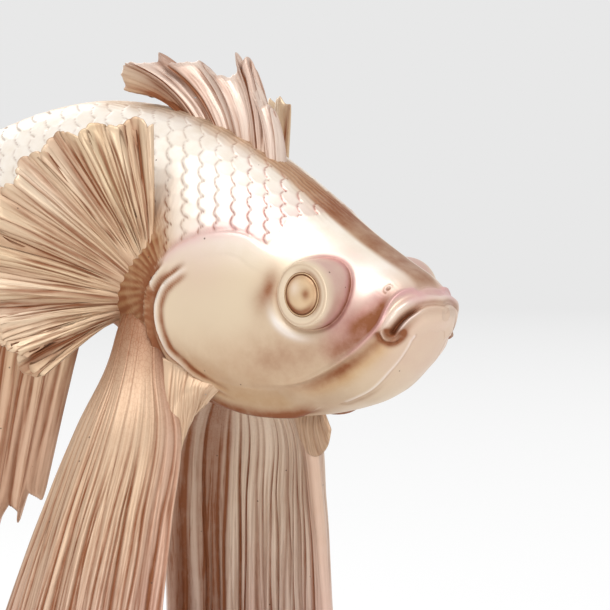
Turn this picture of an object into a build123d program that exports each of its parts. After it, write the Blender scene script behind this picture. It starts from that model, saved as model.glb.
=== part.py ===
from build123d import *
import os
from math import atan2, cos, degrees, hypot, pi, sin

# Long-finned fighting fish, cast in resin and pinned together, standing on the hems of its fins.
# Millimetres. X points out of the mouth, Y to the fish's left, Z up. The origin is on the ground
# under the middle of the whole figure.

# Whole figure
body_length = 252.0
body_depth = 90.0
body_width = 77.0
snout_reach = 180.0
eye_height = 205.0

# Body casting
side_wall = 7.0
belly_wall = 14.0
glue_gap = 0.25
socket_gap = 0.15
cut_overrun = 4.0

# Eyes
eye_back = 40.0
eye_face_side = 31.5
eye_boss_depth = 13.5
eye_boss_radius = 11.2
eye_boss_flare = 3.6
eye_radius = 8.4
eye_rim = 2.2
eye_dome = 1.6
eye_pocket = 2.6
eye_peg_radius = 3.0
eye_peg_length = 5.0

# Mouth, gill covers and belly hole
mouth_gap = 1.6
mouth_depth = 3.0
gill_lift = 1.6
plug_radius = 9.0
plug_flange = 2.0
plug_flange_depth = 2.5
plug_length = 9.0
plug_sink = 0.8
plug_tilt = 20.0

# Fins
ventral_root_thickness = 15.0
ventral_hem_thickness = 7.0
ventral_wave = 4.0
tail_root_thickness = 15.0
tail_hem_thickness = 7.0
tail_wave = 6.0
tail_sway = 17.0
dorsal_root_thickness = 7.0
dorsal_tip_thickness = 3.0
dorsal_wave = 1.9
anal_root_thickness = 7.0
anal_tip_thickness = 3.4
anal_wave = 2.2
right_pectoral_reach = 62.0
left_pectoral_reach = 71.0
pectoral_swing = 40.0
right_pectoral_first_turn = 95.0
left_pectoral_first_turn = 99.0
pectoral_last_turn = -42.0
pectoral_lean = 15.0
pectoral_thickness = 4.4
pectoral_tip_thickness = 1.6
pectoral_wave = 1.6
pectoral_curl = 3.0
throat_thickness = 2.6
throat_tip_thickness = 1.2
throat_wave = 0.5

# Dowels and pads
rod_radius = 2.0
tail_rod_length = 38.0
pin_radius = 1.2
pin_length = 12.0
fine_pin_radius = 0.7
fine_pin_length = 7.0
pin_gap = 0.1
pad_thickness = 1.5
pad_inset = 1.2

os.makedirs("parts", exist_ok=True)

# The body's sections. Each row holds the share of the body's length behind the snout, the top, the
# bottom and the widest point as shares of its depth above eye level, and the half width as a share
# of its width.
section_shares = [
    (0.000, -0.045, -0.100, 0.030, -0.072),
    (0.003, -0.028, -0.117, 0.057, -0.074),
    (0.012, 0.003, -0.170, 0.130, -0.083),
    (0.028, 0.036, -0.240, 0.192, -0.100),
    (0.052, 0.083, -0.313, 0.243, -0.117),
    (0.095, 0.150, -0.389, 0.292, -0.133),
    (0.151, 0.244, -0.444, 0.338, -0.144),
    (0.226, 0.383, -0.483, 0.416, -0.133),
    (0.302, 0.517, -0.489, 0.481, -0.111),
    (0.373, 0.622, -0.439, 0.500, -0.044),
    (0.444, 0.694, -0.333, 0.481, 0.044),
    (0.536, 0.744, -0.200, 0.448, 0.156),
    (0.655, 0.756, -0.078, 0.396, 0.267),
    (0.774, 0.694, 0.011, 0.331, 0.322),
    (0.893, 0.578, 0.050, 0.253, 0.300),
    (1.000, 0.422, 0.044, 0.169, 0.233),
]

# Outline of a gill cover, seen from the side, as shares of length and depth
gill_outline_shares = [
    (0.240, 0.170), (0.292, 0.238), (0.349, 0.209), (0.398, 0.115), (0.418, -0.035),
    (0.419, -0.165), (0.402, -0.265), (0.365, -0.350), (0.300, -0.430), (0.225, -0.470),
    (0.160, -0.440), (0.142, -0.300), (0.150, -0.100), (0.190, 0.080),
]
# The mouth line from its corner to the snout, seen from the side, as shares of length and depth
mouth_line_shares = [(0.043, -0.128), (0.031, -0.082), (0.022, -0.047), (0.010, -0.022), (-0.012, -0.014)]
plug_along_share = 0.600
plug_rise_share = -0.134
# The eye's centre, as a share of depth above eye level
eye_rise_share = 0.002
# The two ends of a ventral fin's dowel, and the middles of the pins in the dorsal and anal fins
ventral_rod_shares = [(0.464, 0.312, -0.016), (0.459, 0.553, -0.409)]
dorsal_pin_shares = [(0.360, 0.605), (0.455, 0.704)]
anal_pin_shares = [(0.740, -0.012), (0.860, 0.038)]
# How far along itself each pin's middle lies from the root of the ray that it holds
pectoral_pin_share = 0.35
throat_pin_share = 0.45

# A ventral fin from its root, inside the body, down to its hem. Each row holds how far down it lies
# as a share of the drop, then the front edge, the outward bulge and the rear edge, each as a share
# of the body's length behind the snout and a share of its width out from the middle.
ventral_root_share = -0.085
right_ventral_shares = [
    (0.00, (0.428, 0.320), (0.461, 0.350), (0.488, 0.280)),
    (0.11, (0.402, 0.405), (0.457, 0.485), (0.500, 0.345)),
    (0.21, (0.368, 0.450), (0.457, 0.645), (0.530, 0.425)),
    (0.37, (0.363, 0.530), (0.480, 0.780), (0.575, 0.530)),
    (0.58, (0.366, 0.600), (0.512, 0.890), (0.622, 0.640)),
    (0.80, (0.360, 0.640), (0.532, 0.985), (0.662, 0.725)),
    (1.00, (0.345, 0.675), (0.540, 1.050), (0.690, 0.773)),
]
left_ventral_shares = [
    (0.00, (0.428, 0.320), (0.461, 0.350), (0.488, 0.280)),
    (0.11, (0.402, 0.405), (0.457, 0.485), (0.520, 0.345)),
    (0.21, (0.368, 0.450), (0.457, 0.645), (0.583, 0.425)),
    (0.37, (0.363, 0.530), (0.490, 0.780), (0.625, 0.530)),
    (0.58, (0.366, 0.600), (0.518, 0.890), (0.652, 0.640)),
    (0.80, (0.360, 0.640), (0.534, 0.985), (0.675, 0.725)),
    (1.00, (0.345, 0.675), (0.540, 1.050), (0.690, 0.773)),
]
# The tail from its root to its hem. Each row holds how far along the rays it lies, then the upper
# and the lower edge as a share of length behind the snout and of the height above the ground.
tail_shares = [
    (0.00, (0.960, 1.160), (0.985, 1.045)),
    (0.14, (1.085, 1.215), (1.040, 0.985)),
    (0.32, (1.225, 1.175), (1.075, 0.845)),
    (0.52, (1.345, 0.960), (1.095, 0.655)),
    (0.74, (1.412, 0.560), (1.098, 0.370)),
    (1.00, (1.428, 0.000), (1.085, 0.000)),
]
# Dorsal and anal fins: rows of how far along the rays, then the front and the rear end of the row,
# as shares of length behind the snout and of depth above eye level.
dorsal_row_shares = [
    (0.00, (0.285, 0.430), (0.520, 0.640)),
    (0.25, (0.300, 0.600), (0.560, 0.745)),
    (0.60, (0.320, 0.800), (0.600, 0.850)),
    (1.00, (0.350, 1.050), (0.640, 0.960)),
]
dorsal_outline_shares = [
    (0.300, 0.400), (0.316, 0.700), (0.322, 0.742), (0.330, 0.736), (0.343, 0.790), (0.352, 0.860),
    (0.360, 0.935), (0.368, 0.905), (0.376, 0.950), (0.384, 0.880), (0.396, 0.850), (0.420, 0.872),
    (0.450, 0.925), (0.480, 0.915), (0.515, 0.912), (0.533, 0.960), (0.546, 0.915), (0.575, 0.922),
    (0.603, 0.915), (0.607, 0.870), (0.588, 0.805), (0.520, 0.760), (0.470, 0.500),
]
anal_row_shares = [
    (0.00, (0.655, 0.060), (0.960, 0.180)),
    (0.30, (0.690, -0.230), (0.995, -0.030)),
    (0.65, (0.735, -0.620), (1.010, -0.420)),
    (1.00, (0.790, -1.120), (1.020, -0.980)),
]
anal_outline_shares = [
    (0.670, 0.200), (0.682, -0.220), (0.700, -0.440), (0.735, -0.700), (0.768, -0.905), (0.782, -0.870),
    (0.805, -1.005), (0.826, -0.930), (0.852, -1.060), (0.880, -0.965), (0.905, -1.040), (0.930, -0.930),
    (0.957, -0.965), (0.975, -0.820), (0.993, -0.760), (0.996, -0.450), (0.978, -0.120), (0.965, 0.250),
]
# Pectoral fins. The root is a strip on the flank, given by its two ends as shares of length, width
# and depth. The rim is a fan round the strip's middle, as shares of the fin's reach.
pectoral_root_shares = [(0.417, 0.435, 0.122), (0.498, 0.345, -0.085)]
pectoral_rim_shares = [
    0.93, 0.97, 0.92, 0.98, 0.94, 1.00, 0.95, 1.00, 0.94, 0.99, 0.92, 0.96, 0.89, 0.94, 0.87, 0.91,
    0.83, 0.88, 0.80, 0.83, 0.74,
]
# Throat fins: root strips, and the free ends of the rays, as shares of length, width and depth
right_throat_root_shares = [(0.306, 0.350, -0.360), (0.366, 0.385, -0.300)]
left_throat_root_shares = [(0.296, 0.250, -0.400), (0.352, 0.290, -0.350)]
right_throat_tip_shares = [
    (0.306, 0.390, -0.460), (0.316, 0.415, -0.480), (0.326, 0.440, -0.500), (0.335, 0.460, -0.525),
    (0.343, 0.475, -0.560), (0.351, 0.490, -0.600), (0.360, 0.500, -0.570),
]
left_throat_tip_shares = [
    (0.276, 0.285, -0.560), (0.284, 0.295, -0.620), (0.298, 0.310, -0.658), (0.314, 0.325, -0.675),
    (0.330, 0.335, -0.668), (0.344, 0.345, -0.630), (0.356, 0.355, -0.560),
]

ventral_folds = 8
tail_folds = 8
dorsal_folds = 6
anal_folds = 6
points_per_fold = 4
fold_start_share = 0.125
section_points = 24

# How far the body's rings lie between an ellipse and a rounded square, above and below
back_power_share = 0.97
keel_power_share = 0.90


def length_at(share):
    """X of a place that lies a share of the body's length behind the snout."""
    return snout_reach - share * body_length


def height_at(share):
    """Z of a place that lies a share of the body's depth above eye level."""
    return eye_height + share * body_depth


def body_ring(top, bottom, half, widest):
    """Points round one section of the body, from the left flank over the back."""
    ring = []
    for step in range(section_points):
        turn = 2 * pi * step / section_points
        side, rise = cos(turn), sin(turn)
        power = back_power_share if rise >= 0 else keel_power_share
        reach = top - widest if rise >= 0 else widest - bottom
        out = half * (1 if side >= 0 else -1) * abs(side) ** power
        ring.append((out, widest + reach * (1 if rise >= 0 else -1) * abs(rise) ** power))
    return ring


def body_section(row, grow_side, grow_top, grow_bottom):
    """One section of the body as a sketch, grown or shrunk all round."""
    along, top, bottom, half, widest = row
    plane = Plane(origin=(length_at(along), 0, 0), x_dir=(0, 1, 0), z_dir=(1, 0, 0))
    ring = body_ring(height_at(top) + grow_top, height_at(bottom) - grow_bottom,
                     half * body_width + grow_side, height_at(widest))
    with BuildSketch(plane) as section:
        with BuildLine():
            Spline(*ring, periodic=True)
        make_face()
    return section.sketch


def sheet_skins(middle, normals, thickness, wave, folds):
    """Points of the two skins of a pleated sheet that follows a middle line."""
    count = len(middle)
    front, back = [], []
    for step, (place, normal) in enumerate(zip(middle, normals)):
        share = step / (count - 1)
        half = thickness / 2 * (0.3 + 0.7 * sin(pi * share) ** 0.5 if 0 < share < 1 else 0.3)
        shift = wave * cos(2 * pi * (folds * share + fold_start_share))
        front.append((place[0] + normal[0] * (shift + half), place[1] + normal[1] * (shift + half)))
        back.append((place[0] + normal[0] * (shift - half), place[1] + normal[1] * (shift - half)))
    return front, back


def sheet_section(plane, front, back):
    """Section of a pleated sheet as a sketch."""
    with BuildSketch(plane) as section:
        with BuildLine():
            Polyline(*front, *reversed(back), close=True)
        make_face()
    return section.sketch


def bowed_line(first, bulge, last, folds):
    """Points and unit normals along a curve through three places."""
    places, normals = [], []
    count = folds * points_per_fold
    for step in range(count + 1):
        share = step / count
        weights = (2 * (share - 0.5) * (share - 1), 4 * share * (1 - share), 2 * share * (share - 0.5))
        slopes = (4 * share - 3, 4 - 8 * share, 4 * share - 1)
        places.append(tuple(sum(w * p[k] for w, p in zip(weights, (first, bulge, last))) for k in (0, 1)))
        slope = [sum(w * p[k] for w, p in zip(slopes, (first, bulge, last))) for k in (0, 1)]
        size = hypot(*slope)
        normals.append((slope[1] / size, -slope[0] / size))
    return places, normals


def ventral_skins(row, side, inset=0):
    """Skins of one level of a ventral fin, in plan."""
    drop, *ends = row
    first, bulge, last = [(length_at(a), side * s * body_width) for a, s in ends]
    middle, normals = bowed_line(first, bulge, last, ventral_folds)
    thickness = ventral_root_thickness + (ventral_hem_thickness - ventral_root_thickness) * drop ** 0.5
    return sheet_skins(middle, normals, thickness - 2 * inset, side * ventral_wave * drop, ventral_folds)


def ventral_level(drop):
    """Height of a level of the ventral fins above the ground."""
    root = height_at(ventral_root_share)
    return root + (pad_thickness - root) * drop


def tail_skins(row, inset=0):
    """Plane and skins of one row across the tail."""
    reach, upper, lower = row
    start = Vector(length_at(lower[0]), 0, max(lower[1] * eye_height, pad_thickness))
    end = Vector(length_at(upper[0]), 0, max(upper[1] * eye_height, pad_thickness))
    plane = Plane(origin=start, x_dir=(end - start), z_dir=(end - start).cross(Vector(0, 1, 0)))
    width = (end - start).length
    count = tail_folds * points_per_fold
    middle, normals = [], []
    for step in range(count + 1):
        share = step / count
        middle.append((share * width, tail_sway * reach * sin(2 * pi * share)))
        slope = tail_sway * reach * cos(2 * pi * share) * 2 * pi
        normals.append((-slope / hypot(slope, width), width / hypot(slope, width)))
    thickness = tail_root_thickness + (tail_hem_thickness - tail_root_thickness) * reach ** 0.5
    return plane, sheet_skins(middle, normals, thickness - 2 * inset, tail_wave * reach, tail_folds)


def median_row(row, folds, root_thickness, tip_thickness, wave):
    """One row across a fin that stands in the middle plane, as a sketch."""
    reach, first, last = row
    thickness = root_thickness + (tip_thickness - root_thickness) * reach
    start = Vector(length_at(first[0]), 0, height_at(first[1]))
    end = Vector(length_at(last[0]), 0, height_at(last[1]))
    width = (end - start).length
    count = folds * points_per_fold
    middle = [(width * step / count, 0) for step in range(count + 1)]
    front, back = sheet_skins(middle, [(0, 1)] * (count + 1), thickness, wave * (0.35 + 0.65 * reach), folds)
    plane = Plane(origin=start, x_dir=(end - start), z_dir=(end - start).cross(Vector(0, 1, 0)))
    return sheet_section(plane, front, back)


def body_place(shares, side):
    """A place given by shares of length, width and depth, on the right (-1) or left (1) side."""
    along, out, rise = shares
    return Vector(length_at(along), side * out * body_width, height_at(rise))


def ray_sections(roots, tips, facing, thickness, tip_thickness, wave, curl):
    """One sketch for each ray of a fan-shaped fin. Rays stand out and back by turns, as pleats."""
    sections = []
    for number, (root, tip) in enumerate(zip(roots, tips)):
        reach = (tip - root).length
        shift = wave * (1 if number % 2 else -1)
        halves = (thickness / 2, (thickness + tip_thickness) / 4, tip_thickness / 2)
        middles = (0, shift / 2 - curl / 4, shift - curl)
        runs = (0, reach / 2, reach)
        front = [(run, mid + half) for run, mid, half in zip(runs, middles, halves)]
        back = [(run, mid - half) for run, mid, half in zip(runs, middles, halves)]
        along = (tip - root).normalized()
        with BuildSketch(Plane(origin=root, x_dir=along, z_dir=along.cross(facing))) as section:
            with BuildLine():
                Polyline(*front, *reversed(back), close=True)
            make_face()
        sections.append(section.sketch)
    return sections


def strip_places(ends, count):
    """Evenly spaced places from one end of a root strip to the other."""
    return [ends[0] + (ends[1] - ends[0]) * (step / (count - 1)) for step in range(count)]


def pectoral_rays(side):
    """Roots and tips of a pectoral fin's rays, and the way that the fan faces."""
    reach = left_pectoral_reach if side > 0 else right_pectoral_reach
    first_turn = left_pectoral_first_turn if side > 0 else right_pectoral_first_turn
    ends = [body_place(shares, side) for shares in pectoral_root_shares]
    swing = pectoral_swing * pi / 180
    out = Vector(-cos(swing), side * sin(swing), 0)
    facing = Vector(sin(swing), side * cos(swing), 0)
    middle = (ends[0] + ends[1]) * 0.5
    count = len(pectoral_rim_shares)
    tips = []
    for step, share in enumerate(pectoral_rim_shares):
        turn = first_turn + (pectoral_last_turn - first_turn) * step / (count - 1)
        level, rise = cos(turn * pi / 180), sin(turn * pi / 180)
        lean = pectoral_lean * (1 + rise) / 2
        tips.append(middle + (out * level + Vector(0, 0, rise)) * (share * reach) + facing * lean)
    return strip_places(ends, count), tips, facing


def throat_rays(side):
    """Roots and tips of a throat fin's rays, and the way that it faces."""
    root_shares = left_throat_root_shares if side > 0 else right_throat_root_shares
    tip_shares = left_throat_tip_shares if side > 0 else right_throat_tip_shares
    ends = [body_place(shares, side) for shares in root_shares]
    tips = [body_place(shares, side) for shares in tip_shares]
    return strip_places(ends, len(tips)), tips, Vector(0, side, 0)


def dowel_plane(start, end):
    """Plane square to a dowel, at its start."""
    return Plane(origin=start, z_dir=(end - start))


def dowel(start, end, radius, gap=0):
    """A dowel from one place to another, or the hole for it, as a loose solid."""
    way = (end - start).normalized()
    with BuildPart(mode=Mode.PRIVATE) as rod:
        with BuildSketch(dowel_plane(start - way * gap, end)):
            Circle(radius + gap)
        extrude(amount=(end - start).length + 2 * gap)
    return rod.part


# The body's outside, grown by the glue gap, which trims every fin's root to the body
with BuildPart() as fin_trim:
    loft([body_section(row, glue_gap, glue_gap, glue_gap) for row in section_shares])

# The space inside the hollow casting
with BuildPart() as body_space:
    loft([body_section(row, -side_wall, -side_wall, -belly_wall) for row in section_shares[4:-2]])

# What the mouth slit leaves whole behind the lips
with BuildPart() as mouth_floor:
    loft([body_section(row, -mouth_depth, -mouth_depth, -mouth_depth) for row in section_shares[2:9]])

with BuildPart() as mouth_slit:
    with BuildSketch(Plane.XZ):
        with BuildLine():
            line = [(length_at(along), height_at(rise)) for along, rise in mouth_line_shares]
            Spline(*line)
            Line(line[-1], (line[-1][0], line[-1][1] - mouth_gap))
            Spline(*[(x, z - mouth_gap) for x, z in reversed(line)])
            Line((line[0][0], line[0][1] - mouth_gap), line[0])
        make_face()
    extrude(amount=body_width, both=True)
    add(mouth_floor.part, mode=Mode.SUBTRACT)


def gill_cover_pair(lift):
    """Both gill covers: the outline, cut from a body grown by the lift."""
    with BuildPart(mode=Mode.PRIVATE) as covers:
        loft([body_section(row, lift, lift, lift) for row in section_shares[3:13]])
        with BuildSketch(Plane.XZ):
            with BuildLine():
                Spline(*[(length_at(a), height_at(rise)) for a, rise in gill_outline_shares], periodic=True)
            make_face()
        extrude(amount=body_width, both=True, mode=Mode.INTERSECT)
    return covers.part


gill_covers = gill_cover_pair(gill_lift)
gill_trim = gill_cover_pair(gill_lift + glue_gap)

eye_x = snout_reach - eye_back
eye_z = height_at(eye_rise_share)
eye_seats = {side: Plane(origin=(eye_x, side * eye_face_side, eye_z), x_dir=(1, 0, 0), z_dir=(0, side, 0))
             for side in (-1, 1)}

# The plug's plane lies on the belly and faces down and back
tilt = plug_tilt * pi / 180
plug_plane = Plane(origin=(length_at(plug_along_share), 0, height_at(plug_rise_share)), x_dir=(0, 1, 0),
                   z_dir=(-sin(tilt), 0, -cos(tilt)))

# Dowels, each by the places of its two ends
ventral_rods = {side: [body_place(shares, side) for shares in ventral_rod_shares] for side in (-1, 1)}
tail_middle = Vector(length_at(1), 0, height_at(section_shares[-1][4]))
tail_rod = [tail_middle + Vector(tail_rod_length / 2, 0, 0), tail_middle - Vector(tail_rod_length / 2, 0, 0)]
pin_half = Vector(0, 0, pin_length / 2)
dorsal_pins, anal_pins = [
    [[body_place((a, 0, rise), 1) + pin_half * end for end in (-1, 1)] for a, rise in table]
    for table in (dorsal_pin_shares, anal_pin_shares)]
pectoral_pins, throat_pins = {}, {}
for side in (-1, 1):
    roots, tips, facing = pectoral_rays(side)
    number = len(roots) // 2
    way = (tips[number] - roots[number]).normalized()
    seat = roots[number] + way * (pin_length * pectoral_pin_share)
    pectoral_pins[side] = [seat - way * (pin_length / 2), seat + way * (pin_length / 2)]
    roots, tips, facing = throat_rays(side)
    number = len(roots) // 2
    way = (tips[number] - roots[number]).normalized()
    seat = roots[number] + way * (fine_pin_length * throat_pin_share)
    throat_pins[side] = [seat - way * (fine_pin_length / 2), seat + way * (fine_pin_length / 2)]


def finish(piece, name):
    """Labels a finished piece, writes it, and prints what it holds."""
    piece.part.label = name
    export_step(piece.part, "parts/" + name + ".step")
    print(name, round(piece.part.volume), len(piece.part.solids()), piece.part.is_valid)


with BuildPart() as body_shell:
    loft([body_section(row, 0, 0, 0) for row in section_shares])
    add(mouth_slit.part, mode=Mode.SUBTRACT)
    add(gill_covers)
    for seat in eye_seats.values():
        with BuildSketch(seat):
            Circle(eye_boss_radius)
        extrude(amount=-eye_boss_depth, taper=-degrees(atan2(eye_boss_flare, eye_boss_depth)))
    add(body_space.part, mode=Mode.SUBTRACT)
    for seat in eye_seats.values():
        with BuildSketch(seat):
            Circle(eye_radius + socket_gap)
        extrude(amount=-eye_pocket, mode=Mode.SUBTRACT)
        with BuildSketch(seat):
            Circle(eye_peg_radius + socket_gap)
        extrude(amount=-eye_pocket - eye_peg_length - socket_gap, mode=Mode.SUBTRACT)
    with BuildSketch(plug_plane.offset(cut_overrun)):
        Circle(plug_radius + plug_flange + socket_gap)
    extrude(amount=-cut_overrun - plug_sink - plug_flange_depth, mode=Mode.SUBTRACT)
    with BuildSketch(plug_plane):
        Circle(plug_radius + socket_gap)
    extrude(amount=-belly_wall - plug_sink - plug_length, mode=Mode.SUBTRACT)
    for ends in (*ventral_rods.values(), tail_rod):
        add(dowel(*ends, rod_radius, pin_gap), mode=Mode.SUBTRACT)
    for ends in (*dorsal_pins, *anal_pins, *pectoral_pins.values()):
        add(dowel(*ends, pin_radius, pin_gap), mode=Mode.SUBTRACT)
    for ends in throat_pins.values():
        add(dowel(*ends, fine_pin_radius, pin_gap), mode=Mode.SUBTRACT)
finish(body_shell, "body_shell")

with BuildPart() as belly_plug:
    with BuildSketch(plug_plane.offset(-plug_sink)):
        Circle(plug_radius + plug_flange)
    extrude(amount=-plug_flange_depth)
    with BuildSketch(plug_plane.offset(-plug_sink - plug_flange_depth)):
        Circle(plug_radius)
    extrude(amount=-plug_length)
finish(belly_plug, "belly_plug")

# Eyes: a domed pupil inside a groove, on a disc with a peg
for side, name in ((-1, "right_eye"), (1, "left_eye")):
    seat = eye_seats[side]
    with BuildPart() as eye:
        with BuildSketch(Plane(origin=seat.origin, x_dir=(1, 0, 0), z_dir=(0, 0, side))):
            with BuildLine():
                pupil = eye_radius - eye_rim
                peg_end = -eye_pocket - eye_peg_length
                Polyline((0, eye_dome), (0, peg_end), (eye_peg_radius, peg_end),
                         (eye_peg_radius, -eye_pocket), (eye_radius, -eye_pocket), (eye_radius, 0),
                         (eye_radius - eye_rim / 3, 0), (pupil + eye_rim / 3, -eye_rim / 3), (pupil, 0))
                TangentArc((0, eye_dome), (pupil, 0), tangent=(1, 0))
            make_face()
        revolve(axis=Axis(seat.origin, seat.z_dir))
    finish(eye, name)

for side, name in ((-1, "right"), (1, "left")):
    ventral_shares = left_ventral_shares if side > 0 else right_ventral_shares
    with BuildPart() as ventral_fin:
        loft([sheet_section(Plane.XY.offset(ventral_level(row[0])), *ventral_skins(row, side))
              for row in ventral_shares], ruled=True)
        add(fin_trim.part, mode=Mode.SUBTRACT)
        add(gill_trim, mode=Mode.SUBTRACT)
        add(dowel(*ventral_rods[side], rod_radius, pin_gap), mode=Mode.SUBTRACT)
    finish(ventral_fin, name + "_ventral_fin")
    with BuildPart() as ventral_rod:
        add(dowel(*ventral_rods[side], rod_radius))
    finish(ventral_rod, name + "_ventral_rod")
    with BuildPart() as pad:
        with BuildSketch():
            add(sheet_section(Plane.XY, *ventral_skins(ventral_shares[-1], side, pad_inset)))
        extrude(amount=pad_thickness)
    finish(pad, name + "_pad")
    with BuildPart() as pectoral_fin:
        loft(ray_sections(*pectoral_rays(side), pectoral_thickness, pectoral_tip_thickness,
                          pectoral_wave, pectoral_curl), ruled=True)
        add(fin_trim.part, mode=Mode.SUBTRACT)
        add(dowel(*pectoral_pins[side], pin_radius, pin_gap), mode=Mode.SUBTRACT)
    finish(pectoral_fin, name + "_pectoral_fin")
    with BuildPart() as throat_fin:
        loft(ray_sections(*throat_rays(side), throat_thickness, throat_tip_thickness,
                          throat_wave, 0), ruled=True)
        add(fin_trim.part, mode=Mode.SUBTRACT)
        add(gill_trim, mode=Mode.SUBTRACT)
        add(dowel(*throat_pins[side], fine_pin_radius, pin_gap), mode=Mode.SUBTRACT)
    finish(throat_fin, name + "_throat_fin")

with BuildPart() as dorsal_fin:
    loft([median_row(row, dorsal_folds, dorsal_root_thickness, dorsal_tip_thickness, dorsal_wave)
          for row in dorsal_row_shares], ruled=True)
    with BuildSketch(Plane.XZ):
        with BuildLine():
            Polyline(*[(length_at(a), height_at(rise)) for a, rise in dorsal_outline_shares], close=True)
        make_face()
    extrude(amount=body_width, both=True, mode=Mode.INTERSECT)
    add(fin_trim.part, mode=Mode.SUBTRACT)
    for ends in dorsal_pins:
        add(dowel(*ends, pin_radius, pin_gap), mode=Mode.SUBTRACT)
finish(dorsal_fin, "dorsal_fin")

with BuildPart() as anal_fin:
    loft([median_row(row, anal_folds, anal_root_thickness, anal_tip_thickness, anal_wave)
          for row in anal_row_shares], ruled=True)
    with BuildSketch(Plane.XZ):
        with BuildLine():
            Polyline(*[(length_at(a), height_at(rise)) for a, rise in anal_outline_shares], close=True)
        make_face()
    extrude(amount=body_width, both=True, mode=Mode.INTERSECT)
    add(fin_trim.part, mode=Mode.SUBTRACT)
    for ends in anal_pins:
        add(dowel(*ends, pin_radius, pin_gap), mode=Mode.SUBTRACT)
finish(anal_fin, "anal_fin")

with BuildPart() as tail_fin:
    loft([sheet_section(plane, *skins) for plane, skins in map(tail_skins, tail_shares)], ruled=True)
    add(fin_trim.part, mode=Mode.SUBTRACT)
    add(dowel(*tail_rod, rod_radius, pin_gap), mode=Mode.SUBTRACT)
finish(tail_fin, "tail_fin")

with BuildPart() as rear_pad:
    plane, skins = tail_skins(tail_shares[-1], pad_inset)
    add(sheet_section(plane, *skins))
    extrude(amount=pad_thickness, dir=(0, 0, -1))
finish(rear_pad, "rear_pad")

with BuildPart() as tail_dowel:
    add(dowel(*tail_rod, rod_radius))
finish(tail_dowel, "tail_rod")

with BuildPart() as fin_pins:
    for ends in (*dorsal_pins, *anal_pins, *pectoral_pins.values()):
        add(dowel(*ends, pin_radius))
finish(fin_pins, "fin_pins")

with BuildPart() as throat_dowels:
    for ends in throat_pins.values():
        add(dowel(*ends, fine_pin_radius))
finish(throat_dowels, "throat_pins")
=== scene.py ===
"""Looks of a cast-resin fish figurine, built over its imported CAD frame.

Every piece follows the shapes of the CAD part: a body with carved head and scales, ribbed fins and
set eyes, in champagne and rose metallic paint with a brown wash rubbed into the recesses.
Sizes are in millimetres in the row frame (+X out of the mouth, +Z up) and become metres in the mesh.
"""

import math

import bpy
import numpy as np
from mathutils import Matrix, Vector


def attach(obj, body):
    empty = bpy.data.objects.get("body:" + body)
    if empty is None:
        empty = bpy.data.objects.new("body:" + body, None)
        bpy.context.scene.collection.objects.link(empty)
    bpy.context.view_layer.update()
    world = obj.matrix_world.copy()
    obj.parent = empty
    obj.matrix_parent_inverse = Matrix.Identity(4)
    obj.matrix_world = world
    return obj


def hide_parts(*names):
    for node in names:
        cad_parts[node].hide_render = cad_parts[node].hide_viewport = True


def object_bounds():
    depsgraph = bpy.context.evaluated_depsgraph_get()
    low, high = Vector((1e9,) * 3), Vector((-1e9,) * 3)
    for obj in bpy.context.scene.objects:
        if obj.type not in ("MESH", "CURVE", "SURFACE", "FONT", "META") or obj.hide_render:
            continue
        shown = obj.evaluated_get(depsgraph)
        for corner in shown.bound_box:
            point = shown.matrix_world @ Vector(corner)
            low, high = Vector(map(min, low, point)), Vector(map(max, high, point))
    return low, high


bl_info = {
    "name": "Cast Fish Figurine",
    "version": (1, 0, 0),
    "blender": (4, 5, 0),
    "location": "3D View > Sidebar > Figurine",
    "description": "Builds the carved and painted pieces of a long-finned fish figurine",
    "category": "Add Mesh",
}

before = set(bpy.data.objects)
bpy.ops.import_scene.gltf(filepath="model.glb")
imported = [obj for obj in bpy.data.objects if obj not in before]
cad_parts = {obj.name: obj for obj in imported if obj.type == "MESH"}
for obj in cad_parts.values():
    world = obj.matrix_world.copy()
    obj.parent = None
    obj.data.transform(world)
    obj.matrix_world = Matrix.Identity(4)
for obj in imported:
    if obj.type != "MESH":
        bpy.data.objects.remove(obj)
frame_low, frame_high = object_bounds()

MM = 0.001
RIGHT, LEFT = -1, 1

# Shape of the body, as in the part's source: along, top, bottom, half width and widest level
section_shares = np.array([
    (0.000, -0.045, -0.100, 0.030, -0.072),
    (0.003, -0.028, -0.117, 0.057, -0.074),
    (0.012, 0.003, -0.170, 0.130, -0.083),
    (0.028, 0.036, -0.240, 0.192, -0.100),
    (0.052, 0.083, -0.313, 0.243, -0.117),
    (0.095, 0.150, -0.389, 0.292, -0.133),
    (0.151, 0.244, -0.444, 0.338, -0.144),
    (0.226, 0.383, -0.483, 0.416, -0.133),
    (0.302, 0.517, -0.489, 0.481, -0.111),
    (0.373, 0.622, -0.439, 0.500, -0.044),
    (0.444, 0.694, -0.333, 0.481, 0.044),
    (0.536, 0.744, -0.200, 0.448, 0.156),
    (0.655, 0.756, -0.078, 0.396, 0.267),
    (0.774, 0.694, 0.011, 0.331, 0.322),
    (0.893, 0.578, 0.050, 0.253, 0.300),
    (1.000, 0.422, 0.044, 0.169, 0.233),
])
back_power_share = 0.97
keel_power_share = 0.90

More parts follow.
